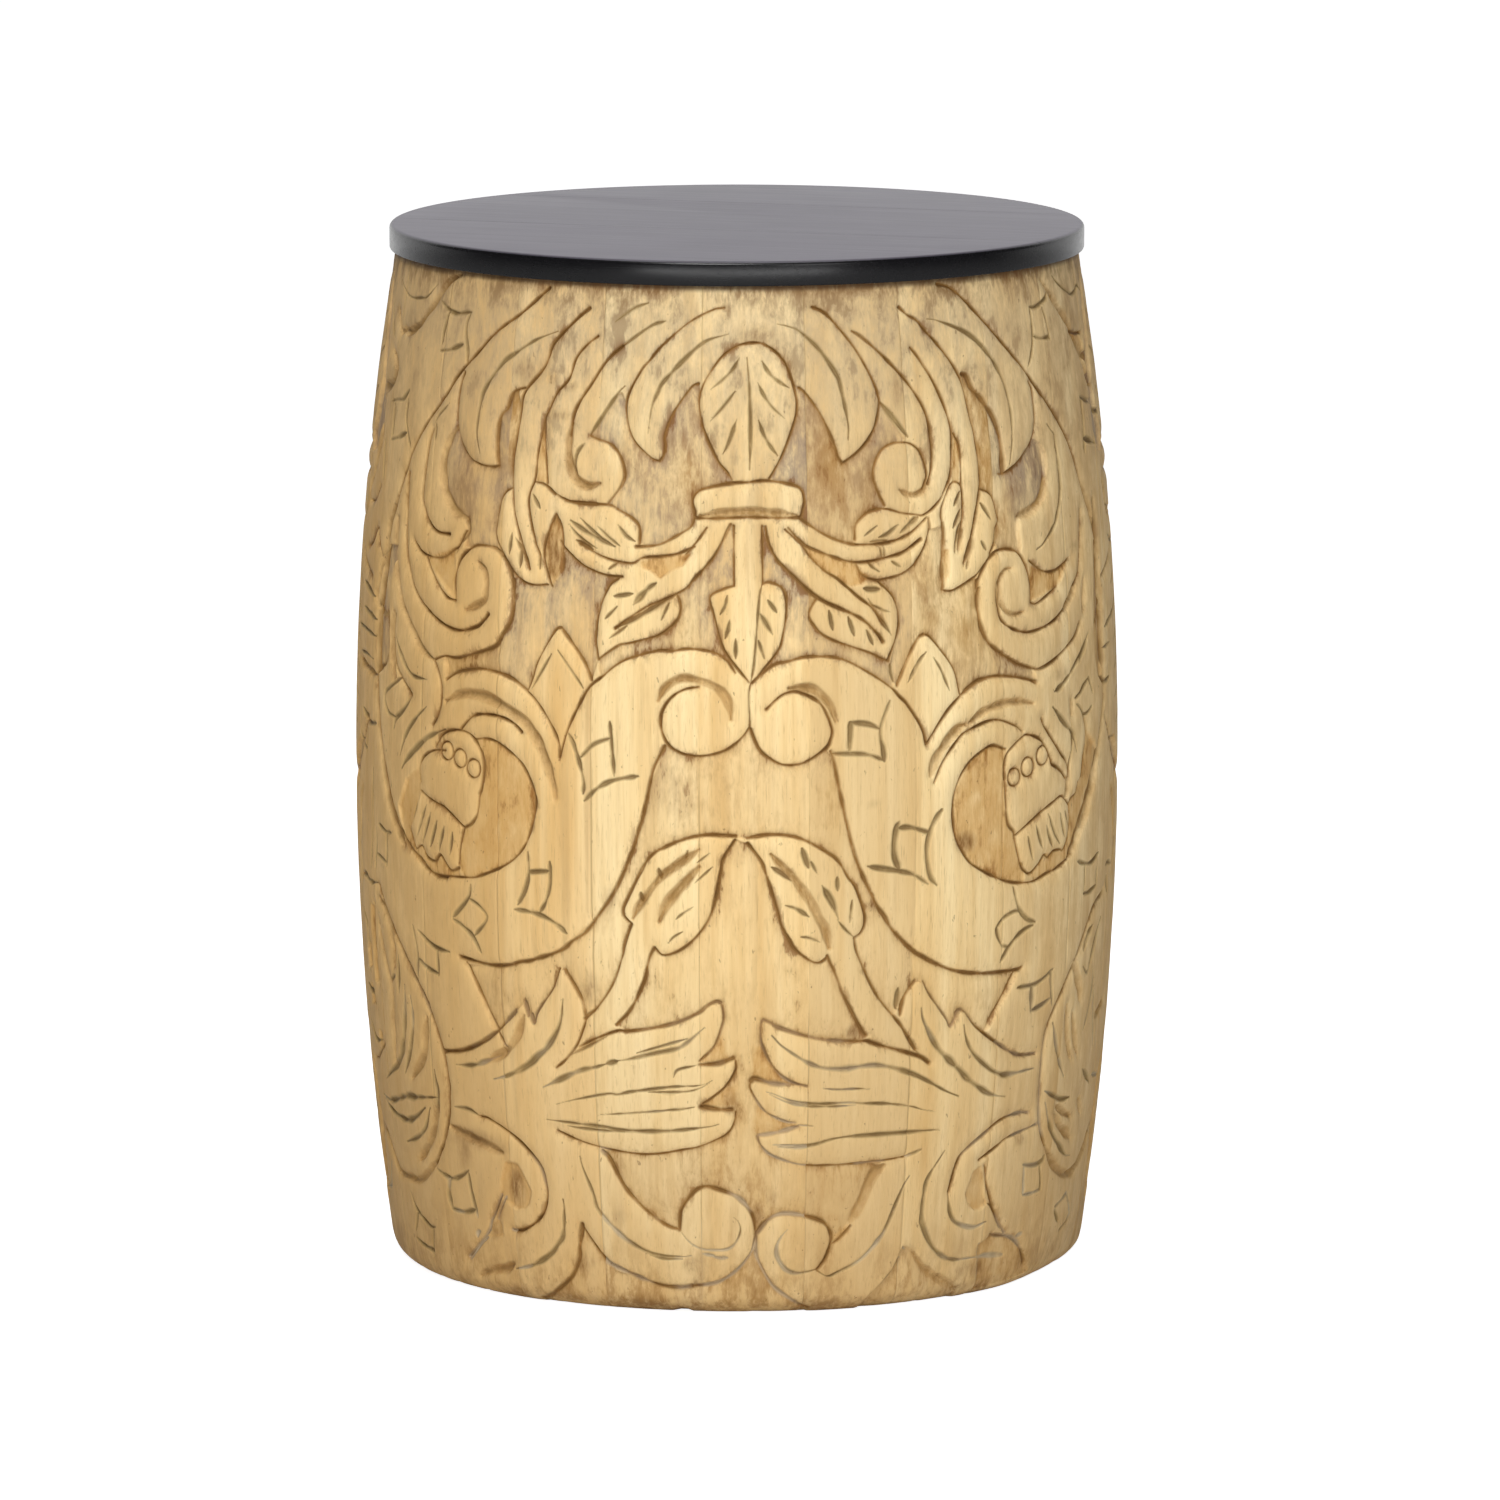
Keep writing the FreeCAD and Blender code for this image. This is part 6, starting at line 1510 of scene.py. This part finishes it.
# A screw's head and neck, then its point: distance from the head's flat, and radius
SCREW_PROFILE = ((0.0, .0037), (.0004, .0038), (.0024, .0019), (.006, .0019), (.0072, .0015), (.0084, .0019))
SHAFT_R, POINT_R, POINT_LENGTH = .0019, .00025, .003
CROSS_SLOT = ((.0028, .0045, .0009), (.0028, .0009, .0045))


def screw_tree():
    """Geometry nodes: one countersunk screw, set round a circle as often as asked."""
    tree = bpy.data.node_groups.new("screws round a ring", "GeometryNodeTree")
    socket = tree.interface.new_socket
    socket("Geometry", in_out="OUTPUT", socket_type="NodeSocketGeometry")
    for label, kind in (("Count", "Int"), ("Distance", "Float"), ("Height", "Float"), ("First angle", "Float"),
                        ("Length", "Float"), ("Upright", "Bool"), ("Sides", "Int"), ("Finish", "Material")):
        socket(label, in_out="INPUT", socket_type=f"NodeSocket{kind}")
    w = Wiring(tree)
    asked, end = w.nodes.new("NodeGroupInput").outputs, w.nodes.new("NodeGroupOutput")
    index = w.add("GeometryNodeInputIndex")

    def pick(values):
        """The value whose place in the list is the point's index."""
        hits = [w.add("FunctionNodeCompare", {2: index, 3: k}, data_type="INT", operation="EQUAL")
                for k in range(len(values))]
        return w.weigh(*zip(hits, values))

    def set_points(count, position):
        """That many points, each at the position worked out for its index."""
        line = w.add("GeometryNodeMeshLine", {"Count": count, "Offset": (0, 0, 0)}, mode="OFFSET")
        return w.add("GeometryNodeSetPosition", {"Geometry": line, "Position": position})

    # the screw lies along +X with the flat of its head at the origin
    shaft_end = w.maths("SUBTRACT", asked["Length"], POINT_LENGTH)
    far, thick = zip(*SCREW_PROFILE, (shaft_end, SHAFT_R), (asked["Length"], POINT_R))
    axis = w.add("GeometryNodeMeshToCurve", {0: set_points(len(far), w.join(pick(far)))})
    circle = w.add("GeometryNodeCurvePrimitiveCircle", {"Resolution": asked["Sides"], "Radius": 1.0})
    body = w.add("GeometryNodeCurveToMesh", {"Curve": axis, "Profile Curve": circle, "Scale": pick(thick),
                                             "Fill Caps": True})
    cut = w.nodes.new("GeometryNodeMeshBoolean")
    cut.operation = "DIFFERENCE"
    w.put(cut.inputs[0], body)
    for size in CROSS_SLOT:
        w.put(cut.inputs[1], w.add("GeometryNodeMeshCube", {"Size": size}))

    # the places round the ring
    share = w.maths("DIVIDE", w.maths("MULTIPLY", index, math.tau), asked["Count"])
    angle = w.maths("ADD", asked["First angle"], share)
    across, along = (w.maths("MULTIPLY", w.maths(kind, angle), asked["Distance"]) for kind in ("COSINE", "SINE"))
    places = set_points(asked["Count"], w.join(across, along, asked["Height"]))
    turn = w.join(0, w.maths("MULTIPLY", asked["Upright"], -math.pi / 2), angle)
    screws = w.add("GeometryNodeInstanceOnPoints", {"Points": places, "Instance": cut.outputs[0], "Rotation": turn})
    screws = w.add("GeometryNodeRealizeInstances", {0: screws})
    w.put(end.inputs[0], w.add("GeometryNodeSetMaterial", {"Geometry": screws, "Material": asked["Finish"]}))
    return tree


class DRUM_OT_drive_screws(bpy.types.Operator):
    """Drive the screws that hold the rings to the staves and the top to its ring"""

    bl_idname = "drum.drive_screws"
    bl_label = "Drive the screws"

    def execute(self, context):
        settings = context.scene.drum_table
        tree = screw_tree()
        names = {item.name: item.identifier for item in tree.interface.items_tree if item.in_out == "INPUT"}
        for name, count, distance, height, first, length, upright in SCREWS:
            holder = bpy.data.objects.new(f"{name} holder", bpy.data.meshes.new(f"{name} holder"))
            context.scene.collection.objects.link(holder)
            modifier = holder.modifiers.new("screws", "NODES")
            modifier.node_group = tree
            values = {"Count": count, "Distance": distance, "Height": height, "First angle": math.radians(first),
                      "Length": length, "Upright": upright, "Sides": settings.screw_sides,
                      "Finish": finish("screw_steel", settings)}
            for label, value in values.items():
                modifier[names[label]] = value
            depsgraph = context.evaluated_depsgraph_get()
            mesh = bpy.data.meshes.new_from_object(holder.evaluated_get(depsgraph), depsgraph=depsgraph)
            if len(mesh.polygons) < count * 20:
                raise RuntimeError(f"{name}: the screws came out empty")
            bpy.data.objects.remove(holder)
            mesh.name = f"driven_{name}"
            add_piece(f"driven_{name}", mesh, "screw_steel", name, settings)
        return {"FINISHED"}


class DRUM_OT_finish_rings(bpy.types.Operator):
    """Give the two rings inside their sawn wood"""

    bl_idname = "drum.finish_rings"
    bl_label = "Finish the rings"

    def execute(self, context):
        settings = context.scene.drum_table
        for name in ("foot_ring", "mouth_ring"):
            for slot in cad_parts[name].material_slots:
                slot.link = "OBJECT"
                slot.material = finish("ring_wood", settings)
        return {"FINISHED"}


# ---------------------------------------------------------------- the stage, in metres
PAPER_FRONT, PAPER_BEND, PAPER_BACK, PAPER_TOP, PAPER_SIDE = -14, 6, 9, 12, 14
PAPER_GLOW = .92          # how bright the paper looks to the camera
ROOM_LIGHT = .13
# Name, place, aim, size, watts
LAMPS = (
    ("key window", (-.5, -2.7, 2.9), (0, 0, .25), (1.4, 1.1), 73),
    ("fill window", (1.5, -3.4, 1.5), (0, 0, .25), (1.4, 1.4), 20),
    ("overhead", (0, -.2, 2.6), (0, 0, .3), (1.8, 1.2), 22),
    ("front card", (0, -2.2, .15), (0, 0, .5), (2.6, .3), 13),
)
# The camera as it was fitted to the photograph
SENSOR = 36               # in mm
PHOTO_SIDE, FOCAL = 1500, 12051.6         # the photograph's side and the focal length, in its pixels
CAMERA_AT = (.00641, -5.8476, 1.1661)
CAMERA_DOWN = 8.912       # degrees below level


def paper():
    """White paper that glows for the camera, and at the back for reflections, and lights nothing else."""
    f = Finish("white paper sweep")
    path = f.nodes.new("ShaderNodeLightPath").outputs
    behind = f.maths("MULTIPLY", path["Is Glossy Ray"], f.between(f.split(f.place)[1], .5, 3))
    seen = f.maths("MAXIMUM", path["Is Camera Ray"], behind)
    glow, dim = (f.add("ShaderNodeEmission", {"Strength": strength}) for strength in (PAPER_GLOW, 0))
    switch = f.add("ShaderNodeMixShader", {0: seen, 1: dim, 2: glow})
    for name, value in (("Base Color", f.ramp(f.noise(f.place, 40, 3), (.3, .78), (.7, .82))),
                        ("Roughness", .9), ("Specular IOR Level", 0)):
        f.put(f.shader.inputs[name], value)
    out = next(n for n in f.nodes if n.type == "OUTPUT_MATERIAL")
    f.put(out.inputs["Surface"], f.add("ShaderNodeAddShader", {0: f.shader.outputs[0], 1: switch}))
    return f.material


class DRUM_OT_set_stage(bpy.types.Operator):
    """Set up the floor, the lamps, the world and the camera"""

    bl_idname = "drum.set_stage"
    bl_label = "Set the stage"

    def execute(self, context):
        scene = context.scene

        def put_in(name, data, place, turn=(0, 0, 0)):
            obj = bpy.data.objects.new(name, data)
            obj.location, obj.rotation_euler = place, turn
            scene.collection.objects.link(obj)
            return obj

        # a floor that sweeps up into a wall far behind
        bend = PAPER_BACK - PAPER_BEND
        angles = [math.radians(degrees) for degrees in range(10, 91, 10)]
        profile = [(PAPER_FRONT, 0), (PAPER_BEND, 0), (PAPER_BACK, PAPER_TOP)]
        profile[2:2] = [(PAPER_BEND + bend * math.sin(a), bend - bend * math.cos(a)) for a in angles]
        verts = [(x, y, z) for y, z in profile for x in (-PAPER_SIDE, PAPER_SIDE)]
        faces = [(i, i + 1, i + 3, i + 2) for i in range(0, len(verts) - 2, 2)]
        mesh = bpy.data.meshes.new("floor")
        mesh.from_pydata(verts, [], faces)
        mesh.materials.append(paper())
        put_in("floor", mesh, (0, 0, 0))

        scene.world = bpy.data.worlds.new("soft room")
        scene.world.use_nodes = True
        w = Wiring(scene.world.node_tree)
        back = w.nodes["Background"].inputs
        w.put(back["Color"], (1, 1, 1))
        seen = w.add("ShaderNodeLightPath", output="Is Camera Ray")
        w.put(back["Strength"], w.ramp(seen, (0, ROOM_LIGHT), (1, 1)))

        for name, place, aim, size, power in LAMPS:
            lamp = bpy.data.lights.new(name, "AREA")
            lamp.shape, lamp.size, lamp.size_y, lamp.energy = "RECTANGLE", *size, power
            turn = (Vector(aim) - Vector(place)).to_track_quat("-Z", "Y").to_euler()
            put_in(name, lamp, place, turn).visible_camera = False

        camera = bpy.data.cameras.new("camera")
        camera.sensor_width, camera.lens = SENSOR, SENSOR * FOCAL / PHOTO_SIDE
        camera.clip_start, camera.clip_end = .1, 60
        scene.camera = put_in("camera", camera, CAMERA_AT, (math.radians(90 - CAMERA_DOWN), 0, 0))
        scene.view_settings.view_transform = "Standard"
        return {"FINISHED"}


OPERATORS = (DRUM_OT_carve_staves, DRUM_OT_glue_top, DRUM_OT_drive_screws, DRUM_OT_finish_rings, DRUM_OT_set_stage)


class DRUM_PT_panel(bpy.types.Panel):
    """The steps of the table, in order"""

    bl_idname = "DRUM_PT_panel"
    bl_label = "Drum side table"
    bl_space_type = "VIEW_3D"
    bl_region_type = "UI"
    bl_category = "Drum table"

    def draw(self, context):
        settings = context.scene.drum_table
        for key in settings.bl_rna.properties.keys():
            if key not in ("rna_type", "name"):
                self.layout.prop(settings, key)
        for operator in OPERATORS:
            self.layout.operator(operator.bl_idname)


CLASSES = (DrumTableSettings, *OPERATORS, DRUM_PT_panel)


def register():
    for cls in CLASSES:
        bpy.utils.register_class(cls)
    bpy.types.Scene.drum_table = PointerProperty(type=DrumTableSettings)


def unregister():
    del bpy.types.Scene.drum_table
    for cls in reversed(CLASSES):
        bpy.utils.unregister_class(cls)


def main():
    register()
    for step in ("carve_staves", "glue_top", "drive_screws", "finish_rings", "set_stage"):
        getattr(bpy.ops.drum, step)()


if __name__ == "__main__":
    main()
